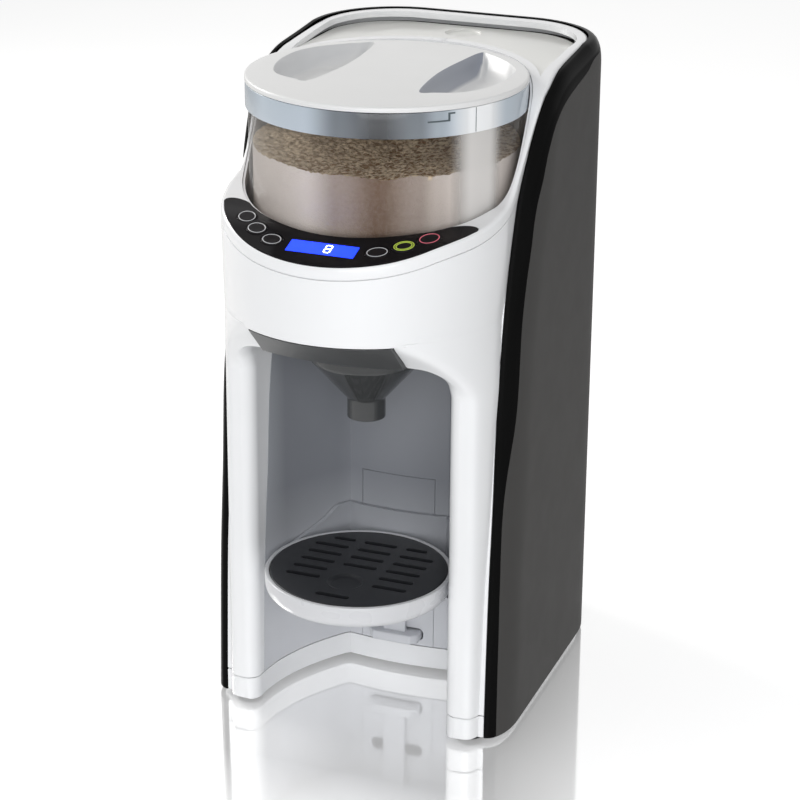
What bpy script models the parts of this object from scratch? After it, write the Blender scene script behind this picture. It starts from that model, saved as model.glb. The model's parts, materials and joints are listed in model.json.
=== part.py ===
"""Countertop formula maker: a white front housing with a bottle bay, dark side shells, a powder
container with its stirring wheel, a pull-out mixing funnel, a water tank and a drip tray.

Metres, +Z up, front towards -Y. The origin is the middle of the space that it stands on.
"""

import math

import bmesh
import bpy
import numpy as np
from mathutils import Matrix, Vector

FULL_TURN = 2 * math.pi
QUARTER_TURN = math.pi / 2

# Overall sizes
HALF_WIDTH = 0.0946
FRONT = -0.1359
REAR = 0.1357
FOOT_HEIGHT = 0.0038
BODY_TOP = 0.386
BODY_HEIGHT = BODY_TOP - FOOT_HEIGHT
BODY_DEPTH = REAR - FRONT

# Clearances and margins
GAP = 0.0003
STEP = 0.001
OVERRUN = 0.03
WELD = 1e-6
WALL = 0.0024

# Side shells, trims and rear cover
SIDE_TAPER = 0.0032
SHELL = 0.0022
EDGE_ROUNDING = 0.0120
EDGE_ROUNDING_DEPTH = 0.0286
TOP_ROUNDING = 0.0060
TOP_ROUNDING_DEPTH = 0.0140
ROUNDING_CHANGE_DROP = 0.0680
ROUNDING_END_DROP = 0.0060
REAR_COVER_HALF_WIDTH = 0.0343
REAR_COVER_DROP = 0.0012
CORNER_RADIUS = HALF_WIDTH - SIDE_TAPER - REAR_COVER_HALF_WIDTH
CORNER_CENTRE_X = REAR_COVER_HALF_WIDTH
CORNER_CENTRE_Y = REAR - CORNER_RADIUS

# Powder container, its lid, ring and cradle, from the top down
CONTAINER_MARGIN = 0.0165
CONTAINER_RADIUS = HALF_WIDTH - CONTAINER_MARGIN
CONTAINER_WALL = 0.0022
CONTAINER_HEIGHT = 0.0770
LID_OVERHANG = 0.0019
LID_RADIUS = CONTAINER_RADIUS + LID_OVERHANG
LID_DROP = 0.0027
LID_TOP = BODY_TOP - LID_DROP
LID_PLATE = 0.0032
LID_EDGE = 0.0010
LID_SEAT = 0.0021
CONTAINER_TOP = LID_TOP - LID_PLATE - LID_SEAT
CONTAINER_FLOOR = CONTAINER_TOP - CONTAINER_HEIGHT
RING_SKIRT = 0.0125
LID_RING_BOTTOM = CONTAINER_TOP - RING_SKIRT
RING_LAND = 0.0037
RING_OPENING = CONTAINER_RADIUS - RING_LAND
COLLAR_WIDTH = 0.0038
COLLAR_RADIUS = CONTAINER_RADIUS + COLLAR_WIDTH
CRADLE_WALL = 0.0012
CRADLE_FLOOR = 0.0025
CRADLE_DEPTH = 0.0050
CRADLE_BOTTOM = CONTAINER_FLOOR - CRADLE_DEPTH
LEG_RADIUS = 0.0030
LEG_CLEARANCE = 0.0060
SCOOP_DEPTH = 0.0110
SCOOP_WALL = 0.0016
SCOOP_FLOOR_SHARE = 0.72
SCOOP_MIDDLE_SHARE = 0.93

# Head, the round front of the housing
HEAD_MARGIN = 0.0117
HEAD_RADIUS = HALF_WIDTH - HEAD_MARGIN
LIP_FLARE = 0.0016
HEAD_CENTRE_Y = FRONT + HEAD_RADIUS + LIP_FLARE
CONTAINER_SETBACK = 0.0266
CONTAINER_Y = HEAD_CENTRE_Y + CONTAINER_SETBACK
LIP_TOP = CONTAINER_FLOOR - STEP
BAY_DROP = 0.0579
BAY_TOP = CRADLE_BOTTOM - BAY_DROP
COVE_DEPTH = 0.0218
COVE_START = BAY_TOP - COVE_DEPTH
COLUMN_SETBACK = 0.0530
COLUMN_FRONT = FRONT + COLUMN_SETBACK
COLUMN_ROUNDING = 0.006
FRONT_SEAM_RISE = 0.0144
FRONT_SEAM = FOOT_HEIGHT + FRONT_SEAM_RISE
LIP_EASE = 0.003
LIP_FADE = 0.008
TUCK = 0.0033
HOUSING_TOP_DROP = 0.042
REAR_BLOCK_DROP = 0.096
REAR_BLOCK_LEAD = 0.0014
REAR_BLOCK_FRONT = HEAD_CENTRE_Y + REAR_BLOCK_LEAD

# Bottle bay
BAY_MARGIN = 0.0348
BAY_HALF_WIDTH = HALF_WIDTH - BAY_MARGIN
BAY_NARROWING = 0.0273
BAY_BACK_HALF_WIDTH = BAY_HALF_WIDTH - BAY_NARROWING
BAY_MOUTH_SETBACK = 0.0084
BAY_MOUTH = COLUMN_FRONT + BAY_MOUTH_SETBACK
BAY_DEPTH = 0.0735
BAY_BACK = BAY_MOUTH + BAY_DEPTH
BAY_BULGE = 0.0026
BAY_CORNER = 0.0140
BAY_EDGE_RADIUS = 0.0078
BAY_CURVE_SHARES = (0, 0.26, 0.50, 0.72, 0.87, 0.965)
BAY_CORNER_SHARES = ((0.98, 0.998),)
BAY_REAR_SHARES = (0.72, 0.45, 0.15)
CEILING_SHARES = (0, 1 / 3, 2 / 3, 1)

# Funnel and its drawer
FASCIA_MARGIN = 0.0176
FASCIA_HALF_WIDTH = BAY_HALF_WIDTH - FASCIA_MARGIN
FASCIA_HEIGHT = 0.0190
FASCIA_TOP = BAY_TOP + FASCIA_HEIGHT
FASCIA_SETBACK = 0.0314
FASCIA_LOW_Y = FRONT + FASCIA_SETBACK
FASCIA_BOW = 0.0065
FASCIA_THICKNESS = 0.0045
FASCIA_LAP = 0.0015
NOTCH_DEPTH = 0.0054
DRAWER_MARGIN = 0.0017
DRAWER_SHARES = (0.1, 0.3, 0.5, 0.7, 0.85, 1)
DRAWER_HALF_WIDTH = FASCIA_HALF_WIDTH - DRAWER_MARGIN
DRAWER_PLATE = 0.0022
DRAWER_LOW = BAY_TOP + WALL + GAP
DRAWER_TOP = DRAWER_LOW + DRAWER_PLATE
FUNNEL_SETFORWARD = 0.0031
FUNNEL_Y = HEAD_CENTRE_Y - FUNNEL_SETFORWARD
FUNNEL_MARGIN = 0.0070
FUNNEL_RADIUS = DRAWER_HALF_WIDTH - FUNNEL_MARGIN
FUNNEL_FLANGE = 0.0030
FUNNEL_FLANGE_RADIUS = FUNNEL_RADIUS + FUNNEL_FLANGE
FUNNEL_WALL = 0.0016
FUNNEL_RIM_DROP = 0.0136
FUNNEL_CONE_TOP = BAY_TOP - FUNNEL_RIM_DROP
FUNNEL_CONE_HEIGHT = 0.0235
FUNNEL_CONE_BOTTOM = FUNNEL_CONE_TOP - FUNNEL_CONE_HEIGHT
FUNNEL_SPOUT_RADIUS = 0.0112
FUNNEL_SPOUT_LENGTH = 0.0135
FUNNEL_SPOUT_BOTTOM = FUNNEL_CONE_BOTTOM - FUNNEL_SPOUT_LENGTH
CEILING_MARGIN = 0.0035
CEILING_HALF_OPENING = FUNNEL_RADIUS + CEILING_MARGIN
CEILING_REAR_MARGIN = 0.0050
CEILING_OPENING_REAR = FUNNEL_Y + FUNNEL_RADIUS + CEILING_REAR_MARGIN
DRAWER_LAP = 0.0015
DRAWER_REAR = CEILING_OPENING_REAR + DRAWER_LAP
CHUTE_RADIUS = 0.0115
CHUTE_WALL = 0.0016
CHUTE_RISE = 0.0159
CHUTE_BOTTOM = BAY_TOP + CHUTE_RISE
CHUTE_FLANGE = 0.0020
FLANGE_THICKNESS = 0.0016
COVER_HOLE = CHUTE_RADIUS + 2 * STEP
COVER_RIM = 0.0030
WATER_HOLE_RADIUS = 0.0040
WATER_HOLE_SETBACK = 0.0155
WATER_HOLE_Y = FUNNEL_Y + WATER_HOLE_SETBACK
LEG_X = DRAWER_HALF_WIDTH + LEG_CLEARANCE
LEG_FRONT = 0.0235
LEG_REAR = 0.0105

# Drip tray, its grate and its bracket
TRAY_MARGIN = 0.0046
TRAY_RADIUS = BAY_HALF_WIDTH - TRAY_MARGIN
TRAY_FORWARD = 0.0084
TRAY_Y = BAY_MOUTH + TRAY_FORWARD
TRAY_TOP = 0.0954
TRAY_DEPTH = 0.0155
TRAY_LOW = TRAY_TOP - TRAY_DEPTH
TRAY_WALL = 0.0026
TRAY_FLOOR = 0.0026
TRAY_LEDGE = 0.0024
# Radius shares and depth shares of the tray's rounded underside
TRAY_UNDER_SHARES = ((0.80, 0), (0.92, 0.10), (0.98, 0.29), (1, 0.55))
GRATE_THICKNESS = 0.0028
GRATE_RADIUS = TRAY_RADIUS - TRAY_WALL - GAP
# The dimple's radius, depth and place, and the slots' ends and rows, as shares of the grate's radius
DIMPLE_RADIUS_SHARE = 0.214
DIMPLE_FLOOR_SHARE = 0.76
DIMPLE_PLACE_SHARE = -0.390
DIMPLE_DEPTH = 0.0014
SLOT_WIDTH = 0.0040
SLOT_START_SHARE = 0.310
SLOT_END_SHARE = 0.719
SLOT_LIMIT_SHARE = 0.88
SLOT_ROW_SHARES = (-0.379, -0.168, 0.042, 0.252, 0.463, 0.673)
MIDDLE_ROW_SHARES = (-0.771, 0.042, 0.252, 0.463, 0.673)
MIDDLE_SLOT_SHARE = 0.201
BRACKET_CLEARANCE = 0.0008
BRACKET_WALL = 0.0022
BRACKET_RISE = 0.0130
BRACKET_LENGTH = 0.0530
BRACKET_START = BAY_BACK - BRACKET_LENGTH
# Depth and height shares of the upstand's top edge, from its front end to the rear
BRACKET_EDGE_SHARES = ((-0.1, -0.40), (0, -0.36), (0.434, 0.03), (0.68, 0.42), (0.87, 0.93), (1.3, 1.0))
TONGUE_SHARE = 0.49
TONGUE_HALF_WIDTH = BAY_BACK_HALF_WIDTH * TONGUE_SHARE
TONGUE_THICKNESS = 0.0060
TONGUE_REACH = 0.0030
TONGUE_NOSE = 0.0080
TONGUE_ROUNDING = 0.0040
TONGUE_DROP = 0.0089
TONGUE_Z = TRAY_TOP - TONGUE_DROP
TRAY_STEP = 0.0305
HEIGHT_SLOTS = 3
SLOT_CLEARANCE = 0.0012
REAR_PLATE_SHARE = 0.717
REAR_PLATE_HALF = BAY_BACK_HALF_WIDTH * REAR_PLATE_SHARE
REAR_PLATE_RISE = 0.0346
REAR_PLATE_TOP = TRAY_TOP + REAR_PLATE_RISE
STEM_HALF_WIDTH = 0.0070
STEM_THICKNESS = 0.0030

# Control panel
LENS_FORWARD = 0.0019
LENS_CENTRE_Y = HEAD_CENTRE_Y - LENS_FORWARD
LENS_MARGIN = 0.0029
LENS_RADIUS = HEAD_RADIUS - LENS_MARGIN
LENS_INNER_RADIUS = COLLAR_RADIUS + STEP / 10
LENS_TIP_SHARE = 0.7159
LENS_TIP_Y = CONTAINER_Y - LENS_INNER_RADIUS * LENS_TIP_SHARE
LENS_TIP_RISE = 0.0065
LENS_TIP_LEAN = 0.0048
LENS_THICKNESS = 0.0014
LENS_OUTER_SHARES = (0.04, 0.15, 0.27, 0.39, 0.51, 0.63, 0.75, 0.87, 1)
LENS_TIP_SHARES = (0.25, 0.5, 0.75)
LENS_INNER_SHARES = (1, 0.84, 0.67, 0.5, 0.33, 0.1)
BUTTON_INSET = 0.0104
BUTTON_ARC_RADIUS = LENS_RADIUS - BUTTON_INSET
BUTTON_FIRST = math.radians(26.3)
BUTTON_PITCH = math.radians(12.2)
BUTTON_LENGTH_SHARE = 0.89
BUTTON_HALF_LENGTH = BUTTON_ARC_RADIUS * BUTTON_PITCH * BUTTON_LENGTH_SHARE / 2
BUTTON_HALF_WIDTH = 0.0056
BUTTON_PROUD = 0.0005
BUTTON_CROWN = 0.0007
BUTTON_FLANGE = 0.0005
BUTTON_DEPTH = 0.0056
BUTTON_SLACK = 0.0010
BUTTON_TRAVEL = 0.0010
BUTTON_TILT = math.radians(14)
BUTTON_SIDES = 14
SHARP_ANGLE = math.radians(35)
DISPLAY_MARGIN = 0.0042
DISPLAY_HALF_LENGTH = BUTTON_ARC_RADIUS * math.sin(BUTTON_FIRST) - BUTTON_HALF_LENGTH - DISPLAY_MARGIN
DISPLAY_INSET = 0.0097
DISPLAY_DEPTH = 0.0104
DISPLAY_FRONT = LENS_CENTRE_Y - LENS_RADIUS + DISPLAY_INSET
DISPLAY_REAR = DISPLAY_FRONT + DISPLAY_DEPTH
DISPLAY_PROUD = 0.0002
TOP_SKIN = 0.0036
TOP_SEAM_DROP = 0.0075
BOARD_SHARE = 0.93
BOARD_DROP = 0.0115
BOARD_THICKNESS = 0.0016
SWITCH_RADIUS = 0.0025
POST_X = 0.0120
POST_SETBACK = 0.0032
POST_Y = DISPLAY_REAR + POST_SETBACK

# Water tank, its lid, shelf and valve
TANK_DROP = 0.0095
TANK_TOP = BODY_TOP - TANK_DROP
TANK_BOTTOM = 0.1893
TANK_WALL = 0.0022
TANK_CLEARANCE = 0.0010
TANK_FRONT_MARGIN = 0.0099
TANK_FRONT_RADIUS = CONTAINER_RADIUS + TANK_FRONT_MARGIN
TANK_MARGIN = 0.0181
TANK_HALF_WIDTH = HALF_WIDTH - TANK_MARGIN
TANK_REAR_MARGIN = 0.0183
TANK_REAR = REAR - TANK_REAR_MARGIN
TANK_CORNER_RADIUS = 0.0421
TANK_LID_THICKNESS = 0.0027
FINGER_RADIUS = 0.0110
FINGER_INSET = 0.0174
VALVE_X_SHARE = -0.50
VALVE_X = TANK_HALF_WIDTH * VALVE_X_SHARE
VALVE_INSET = 0.0424
VALVE_Y = TANK_REAR - VALVE_INSET
VALVE_RADIUS = 0.0090
VALVE_CROWN_SHARE = 0.8
VALVE_HEAD = 0.0020
SHELF_THICKNESS = 0.0030
SHELF_LEG_RADIUS = 0.0045
SHELF_LEG_MARGIN = 0.0075
SHELF_LEG_X = TANK_HALF_WIDTH - SHELF_LEG_MARGIN
SHELF_LEG_FRONT = 0.0300
SHELF_LEG_REAR = 0.0980
SHELF_REAR_SHARE = 0.78

# Stirring drive under the container
GEAR_TEETH = 28
PINION_TEETH = 10
MODULE = 0.0010
# Shares of a tooth's pitch round the gear, and its radius in modules from the pitch circle
TOOTH_SHARES = ((-0.30, -1.2), (-0.14, 0.9), (0.14, 0.9), (0.30, -1.2))
GEAR_DROP = 0.0080
GEAR_BOTTOM = CRADLE_BOTTOM - GEAR_DROP
GEAR_FACE = 0.0055
SHAFT_RADIUS = 0.0030
SHAFT_COLLAR_RADIUS = 0.0055
PLATE_DROP = 0.0114
PLATE_Z = CRADLE_BOTTOM - PLATE_DROP
PLATE_THICKNESS = 0.0022
BRACKET_HALF_WIDTH = 0.0180
BRACKET_AHEAD = 0.0127
BRACKET_FRONT = CONTAINER_Y - BRACKET_AHEAD
BRACKET_BEHIND = 0.0368
BRACKET_REAR = CONTAINER_Y + BRACKET_BEHIND
BRACKET_POST_RADIUS = 0.0028
MOTOR_RADIUS = 0.0140
MOTOR_LENGTH = 0.0300
MOTOR_SHAFT_RADIUS = 0.0018
MOTOR_Y = CONTAINER_Y + MODULE * (GEAR_TEETH + PINION_TEETH) / 2 + GAP
WHEEL_HUB_RADIUS = 0.0110
WHEEL_HUB_HEIGHT = 0.0220
WHEEL_ARM_HEIGHT = 0.0120
WHEEL_ARM_THICKNESS = 0.0026
WHEEL_ARM_TIP = 0.0040
WHEEL_ARMS = 4
WHEEL_MARGIN = 0.0066
WHEEL_REACH = CONTAINER_RADIUS - WHEEL_MARGIN

# Pump, heater, hoses, nozzle and supply in the rear
BASE_FLOOR = 0.0025
INNER_FLOOR = FOOT_HEIGHT + BASE_FLOOR + GAP
PUMP_X_SHARE = 0.36
PUMP_RADIUS_SHARE = 0.18
HEATER_X_SHARE = -0.34
HEATER_RADIUS_SHARE = 0.20
PUMP_Y = 0.0450
PUMP = (HALF_WIDTH * PUMP_X_SHARE, PUMP_Y)
PUMP_RADIUS = HALF_WIDTH * PUMP_RADIUS_SHARE
PUMP_HEIGHT = 0.0520
HEATER_Y = 0.0400
HEATER = (HALF_WIDTH * HEATER_X_SHARE, HEATER_Y)
HEATER_RADIUS = HALF_WIDTH * HEATER_RADIUS_SHARE
HEATER_HEIGHT = 0.1050
NECK_RADIUS = 0.0040
NECK_HEIGHT = 0.0080
HOSE_RADIUS = 0.0032
OUTLET_HOSE_RADIUS = 0.0026
FEED_DROP = 0.020
FEED_RISE = 0.018
# Shares of the way from a hose's first elbow to its last one, along X, Y and Z
FEED_SHARES = ((0.36, 0, 0.23), (0.86, 0.5, 0.55))
HEAT_HOSE_RISE = 0.0140
HEAT_HOSE_LEAD = 0.0080
OUTLET_RISE = 0.018
OUTLET_SHARES = ((0, 0.76, 0.35), (0.51, 0.97, 0.72))
NOZZLE_X = -0.0200
NOZZLE_REAR = -0.0045
NOZZLE_LOW = BAY_TOP + WALL + GAP
NOZZLE_HEIGHT = 0.0220
NOZZLE_HALF_WIDTH = 0.0050
NOZZLE_DEPTH = 0.0080
NOZZLE_ARM = 0.0060
NOZZLE_TIP_RADIUS = 0.0030
NOZZLE_TIP_LOW = 0.0110
NOZZLE_PORT_DROP = 0.0030
NOZZLE_ELBOW = 0.0155
NOZZLE_LEAD = 0.0060
BOARD_MARGIN = 0.0486
SUPPLY_HALF_WIDTH = HALF_WIDTH - BOARD_MARGIN
SUPPLY_FRONT = 0.0740
SUPPLY_REAR = 0.1060
SUPPLY_RISE = 0.0060
SUPPLY_POST_RADIUS = 0.0022
SUPPLY_POST_INSET = 0.0040
SUPPLY_PACK_INSET = 0.0050
PACK_HEIGHT = 0.0160
# Middle and half width of each pack on the supply board, and its height, as shares
PACK_SHARES = ((-0.57, 0.26, 1), (0.13, 0.20, 0.7), (0.70, 0.15, 1))
INLET_X = -0.0120
INLET_RISE = 0.0252
INLET_Z = FOOT_HEIGHT + INLET_RISE
INLET_HALF_WIDTH = 0.0140
INLET_HALF_HEIGHT = 0.0100
INLET_DEPTH = 0.0240
INLET_WALL = 0.0020
PIN_OFFSET = 0.0050
PIN_HALF_WIDTH = 0.0012
STAND_SHARE = 0.7
STAND_DEPTH = 0.0120

# Feet
FOOT_RADIUS = 0.0075
FRONT_FOOT_MARGIN = 0.0231
REAR_FOOT_MARGIN = 0.0346
FRONT_FOOT_Y = -0.0660
REAR_FOOT_Y = 0.0950
FEET = {
    "front_right": (HALF_WIDTH - FRONT_FOOT_MARGIN, FRONT_FOOT_Y),
    "front_left": (FRONT_FOOT_MARGIN - HALF_WIDTH, FRONT_FOOT_Y),
    "rear_right": (HALF_WIDTH - REAR_FOOT_MARGIN, REAR_FOOT_Y),
    "rear_left": (REAR_FOOT_MARGIN - HALF_WIDTH, REAR_FOOT_Y),
}

# Height shares and depth shares of the edge where the white housing meets the dark shells
EDGE_SHARES = (
    (0, 0.2250), (0.229, 0.2389), (0.389, 0.2581), (0.498, 0.2677), (0.566, 0.2806),
    (0.625, 0.2938), (0.675, 0.3078), (0.718, 0.3229), (0.772, 0.3490), (0.822, 0.3756),
    (0.855, 0.3910), (0.8875, 0.4120), (0.919, 0.4360), (0.942, 0.4591), (0.959, 0.4827),
    (0.970, 0.5144), (0.980, 0.5460), (0.988, 0.5917), (0.995, 0.7000), (1, 0.7703),
)
# Depth and height shares of the line between the black trim and the grey side panel
TRIM_SHARES = (
    (0.2408, -0.02), (0.2522, 0.228), (0.2710, 0.388), (0.3108, 0.537), (0.3306, 0.641),
    (0.3535, 0.707), (0.3778, 0.754), (0.3991, 0.796), (0.4356, 0.851), (0.4628, 0.890),
    (0.5055, 0.926), (0.5700, 0.947), (0.6429, 0.957), (0.7220, 0.966), (0.7802, 0.978),
    (1.10, 0.988),
)
# Depth and height shares of the white top: the sloped panel, the rise and the deck
TOP_SHARES = (
    (-0.2, 0.720), (0, 0.779), (0.0453, 0.7883), (0.0836, 0.797), (0.1086, 0.803),
    (0.1403, 0.808), (0.1867, 0.813), (0.2382, 0.820), (0.2842, 0.828), (0.3126, 0.8325),
    (0.3347, 0.840), (0.3501, 0.848), (0.3660, 0.860), (0.3980, 0.892), (0.4275, 0.924),
    (0.4562, 0.9475), (0.4827, 0.9618), (0.5144, 0.972), (0.5460, 0.9805), (0.5917, 0.988),
    (0.6598, 0.9925), (0.77, 0.997), (1.2, 1.0),
)
SIDE_SHARES = (0, 0.005, 0.022, 0.06, 0.14, 0.40, 1)
# Shares of the turn from the front to the side edge: even for the head, closer at the corner for a column
HEAD_SHARES = (0.05, 0.15, 0.25, 0.35, 0.45, 0.56, 0.67, 0.78, 0.89, 1)
COLUMN_SHARES = (0.10, 0.38, 0.60, 0.73, 0.82, 0.87, 0.91, 0.945, 0.975, 1)
# One grip hollow's outline from the lid's middle, as shares of the lid's radius
SCOOP_SHARES = (
    (-0.421, -0.447), (-0.520, -0.420), (-0.650, -0.361), (-0.735, -0.275), (-0.800, -0.120), (-0.832,
                                                                                               0.050),
    (-0.838, 0.220), (-0.815, 0.380), (-0.730, 0.540), (-0.600, 0.680), (-0.500, 0.760), (-0.413, 0.800),
    (-0.405, 0.500), (-0.410, 0.100), (-0.415, -0.200),
)

# Steps round turned pieces and corners
CORNER_STEPS = 4
LARGE_STEPS = 32
TRAY_STEPS = 32
ROUND_STEPS = 20
SMALL_STEPS = 12
TANK_FRONT_STEPS = 6
TANK_CORNER_STEPS = 4
FASCIA_SECTIONS = 11
TUBE_SIDES = 8


def height(share):
    return FOOT_HEIGHT + share * BODY_HEIGHT


def depth(share):
    return FRONT + share * BODY_DEPTH


EDGE = [(depth(y), height(z)) for z, y in EDGE_SHARES]
EDGE_LINE = np.array(EDGE + [(depth(1.2), BODY_TOP)])
TOP_LINE = [(depth(y), height(z)) for y, z in TOP_SHARES]
TRIM_LINE = [(depth(y), height(z)) for y, z in TRIM_SHARES]
COVE_MIDDLES = (COVE_START + COVE_DEPTH / 2, COVE_START + COVE_DEPTH * 5 / 6)
LIP_LEVELS = (FASCIA_TOP - STEP / 5, FASCIA_TOP + STEP / 10, FASCIA_TOP + LIP_EASE)
HEAD_LEVELS = tuple(sorted((FRONT_SEAM, COVE_START, *COVE_MIDDLES, *LIP_LEVELS)
                           + tuple(z for _, z in EDGE if FRONT_SEAM < z < BODY_TOP - HOUSING_TOP_DROP)))
TOP_LEVELS = tuple(z for z in HEAD_LEVELS if z > FASCIA_TOP + 4 * LIP_EASE)
REAR_LEVELS = tuple(z for _, z in EDGE if z > BODY_TOP - REAR_BLOCK_DROP)
BUTTON_ANGLES = tuple(side * (BUTTON_FIRST + i * BUTTON_PITCH) for side, i in
                      ((-1, 2), (-1, 1), (-1, 0), (1, 0), (1, 1), (1, 2)))
MATERIALS = {}
CUTTERS = {}


def clear_scene():
    for obj in list(bpy.data.objects):
        bpy.data.objects.remove(obj, do_unlink=True)


def finish(name, colour, roughness, metallic=0.0, alpha=1.0):
    """A Principled material, kept by name."""
    made = bpy.data.materials.new(name)
    made.use_nodes = True
    shader = made.node_tree.nodes["Principled BSDF"]
    shader.inputs["Base Color"].default_value = (*colour, 1)
    shader.inputs["Roughness"].default_value = roughness
    shader.inputs["Metallic"].default_value = metallic
    shader.inputs["Alpha"].default_value = alpha
    MATERIALS[name] = made


def make_finishes():
    finish("white_plastic", (0.86, 0.87, 0.89), 0.25)
    finish("grey_plastic", (0.065, 0.065, 0.065), 0.40)
    finish("black_trim", (0.012, 0.012, 0.012), 0.20)
    finish("black_lens", (0.006, 0.005, 0.006), 0.08)
    finish("display_blue", (0.02, 0.09, 0.95), 0.20)
    finish("button_dark", (0.03, 0.03, 0.03), 0.25)
    finish("smoked_plastic", (0.045, 0.048, 0.05), 0.15, alpha=0.7)
    finish("clear_plastic", (0.85, 0.87, 0.88), 0.05, alpha=0.3)
    finish("frosted_plastic", (0.62, 0.68, 0.72), 0.30, alpha=0.8)
    finish("grate_black", (0.02, 0.021, 0.024), 0.40)
    finish("rubber", (0.02, 0.02, 0.02), 0.80)
    finish("steel", (0.55, 0.55, 0.56), 0.30, metallic=1.0)
    finish("circuit_green", (0.02, 0.16, 0.06), 0.50)
    finish("nylon", (0.75, 0.74, 0.70), 0.50)
    finish("silicone", (0.70, 0.72, 0.74), 0.60)


def place(name, bm, finish_name, origin=(0, 0, 0)):
    """Turns a bmesh in world coordinates into a named object whose origin is the given point."""
    bmesh.ops.recalc_face_normals(bm, faces=bm.faces)
    bm.transform(Matrix.Translation(-Vector(origin)))
    mesh = bpy.data.meshes.new(name)
    bm.to_mesh(mesh)
    bm.free()
    obj = bpy.data.objects.new(name, mesh)
    obj.location = origin
    bpy.context.scene.collection.objects.link(obj)
    if finish_name:
        mesh.materials.append(MATERIALS[finish_name])
        mesh.shade_smooth()
        mesh.set_sharp_from_angle(angle=SHARP_ANGLE)
    return obj


def cutter(name, bm):
    """A hidden solid that shapes other pieces."""
    obj = place("cutter_" + name, bm, None)
    obj.hide_render = True
    obj.display_type = "WIRE"
    return obj


def shape(obj, other, operation="DIFFERENCE"):
    modifier = obj.modifiers.new(other.name, "BOOLEAN")
    modifier.operation = operation
    modifier.solver = "EXACT"
    modifier.object = other
    return obj


def cut(obj, *others):
    for other in others:
        shape(obj, other)
    return obj


def join(obj, *others):
    for other in others:
        shape(obj, other, "UNION")
    return obj


def keep(obj, other):
    return shape(obj, other, "INTERSECT")


def loft(rings):
    """A closed solid through rings of as many points each, with flat ends."""
    bm = bmesh.new()
    rows = [[bm.verts.new(point) for point in ring] for ring in rings]
    for low, high in zip(rows, rows[1:]):
        for i in range(len(low)):
            j = (i + 1) % len(low)
            bm.faces.new((low[i], low[j], high[j], high[i]))
    bm.faces.new(list(reversed(rows[0])))
    bm.faces.new(rows[-1])
    return bm


def prism(outline, low, high):
    """An outline in plan, extruded upwards."""
    return loft([[(x, y, z) for x, y in outline] for z in (low, high)])


def side_prism(outline, low, high):
    """An outline in the side view, as depth and height, extruded along X."""
    return loft([[(x, y, z) for y, z in outline] for x in (low, high)])


def turned(profile, centre=(0, 0), steps=LARGE_STEPS):
    """A turned solid: the profile is radius and height, open only where both ends lie on the axis."""
    bm = bmesh.new()
    x, y = centre
    verts = [bm.verts.new((x + radius, y, z)) for radius, z in profile]
    edges = [bm.edges.new(pair) for pair in zip(verts, verts[1:])]
    if profile[0][0] or profile[-1][0]:
        edges.append(bm.edges.new((verts[-1], verts[0])))
    bmesh.ops.spin(bm, geom=edges, cent=(x, y, 0), axis=(0, 0, 1), angle=FULL_TURN, steps=steps,
                   use_merge=True, use_duplicate=False)
    bmesh.ops.remove_doubles(bm, verts=bm.verts, dist=WELD)
    return bm


def disc(radius, low, high, centre=(0, 0), steps=ROUND_STEPS):
    return turned([(0, low), (radius, low), (radius, high), (0, high)], centre, steps)


def box(low, high):
    bm = bmesh.new()
    bmesh.ops.create_cube(bm, size=1)
    size = Vector(high) - Vector(low)
    bmesh.ops.scale(bm, vec=size, verts=bm.verts)
    bmesh.ops.translate(bm, vec=(Vector(high) + Vector(low)) / 2, verts=bm.verts)
    return bm


def arc(centre, radius, start, end, steps):
    return [(centre[0] + radius * math.cos(start + (end - start) * i / steps),
             centre[1] + radius * math.sin(start + (end - start) * i / steps))
            for i in range(steps + 1)]


def mirrored(half):
    """A plan outline from its right half, which runs from front to rear."""
    return half + [(-x, y) for x, y in reversed(half)]


def clamp(value, low=0.0, high=1.0):
    return min(max(value, low), high)


def edge_depth(z):
    """Where the white housing meets the dark shells at a height."""
    return float(np.interp(z, [point[1] for point in EDGE], [point[0] for point in EDGE]))


def edge_distance(y, z):
    start, end = EDGE_LINE[:-1], EDGE_LINE[1:]
    along = end - start
    share = np.clip((((y, z) - start) * along).sum(1) / (along**2).sum(1), 0, 1)
    return float(np.linalg.norm(start + along * share[:, None] - (y, z), axis=1).min())


def steepness(z):
    """One where the edge stands upright, near zero where it lies flat."""
    low, high = max(z - STEP, FOOT_HEIGHT), min(z + STEP, BODY_TOP)
    run = edge_depth(high) - edge_depth(low)
    return (high - low) / math.hypot(run, high - low)


def rounding(z):
    start = BODY_TOP - ROUNDING_CHANGE_DROP
    share = clamp((z - start) / (ROUNDING_CHANGE_DROP - ROUNDING_END_DROP))
    return (EDGE_ROUNDING + share * (TOP_ROUNDING - EDGE_ROUNDING),
            EDGE_ROUNDING_DEPTH + share * (TOP_ROUNDING_DEPTH - EDGE_ROUNDING_DEPTH))


def quarter(distance, width, length):
    """How far a surface that rounds over has come in at a distance from its edge."""
    return width * (1 - math.sqrt(1 - clamp(1 - distance / length) ** 2))


def side_width(y):
    return HALF_WIDTH - SIDE_TAPER * clamp((y - EDGE[0][0]) / (CORNER_CENTRE_Y - EDGE[0][0]))


def shell_inset(y, z, cover):
    """How far in from the full width the shell's face is or, with a cover, the surface under it."""
    width, length = rounding(z)
    distance = edge_distance(y, z)
    face = quarter(distance, width, length)
    if not cover:
        return face
    under = cover + quarter(max(distance - cover, 0), width - cover, length - cover)
    steep = steepness(z)
    return steep * under + (1 - steep) * (face + cover)


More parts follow.
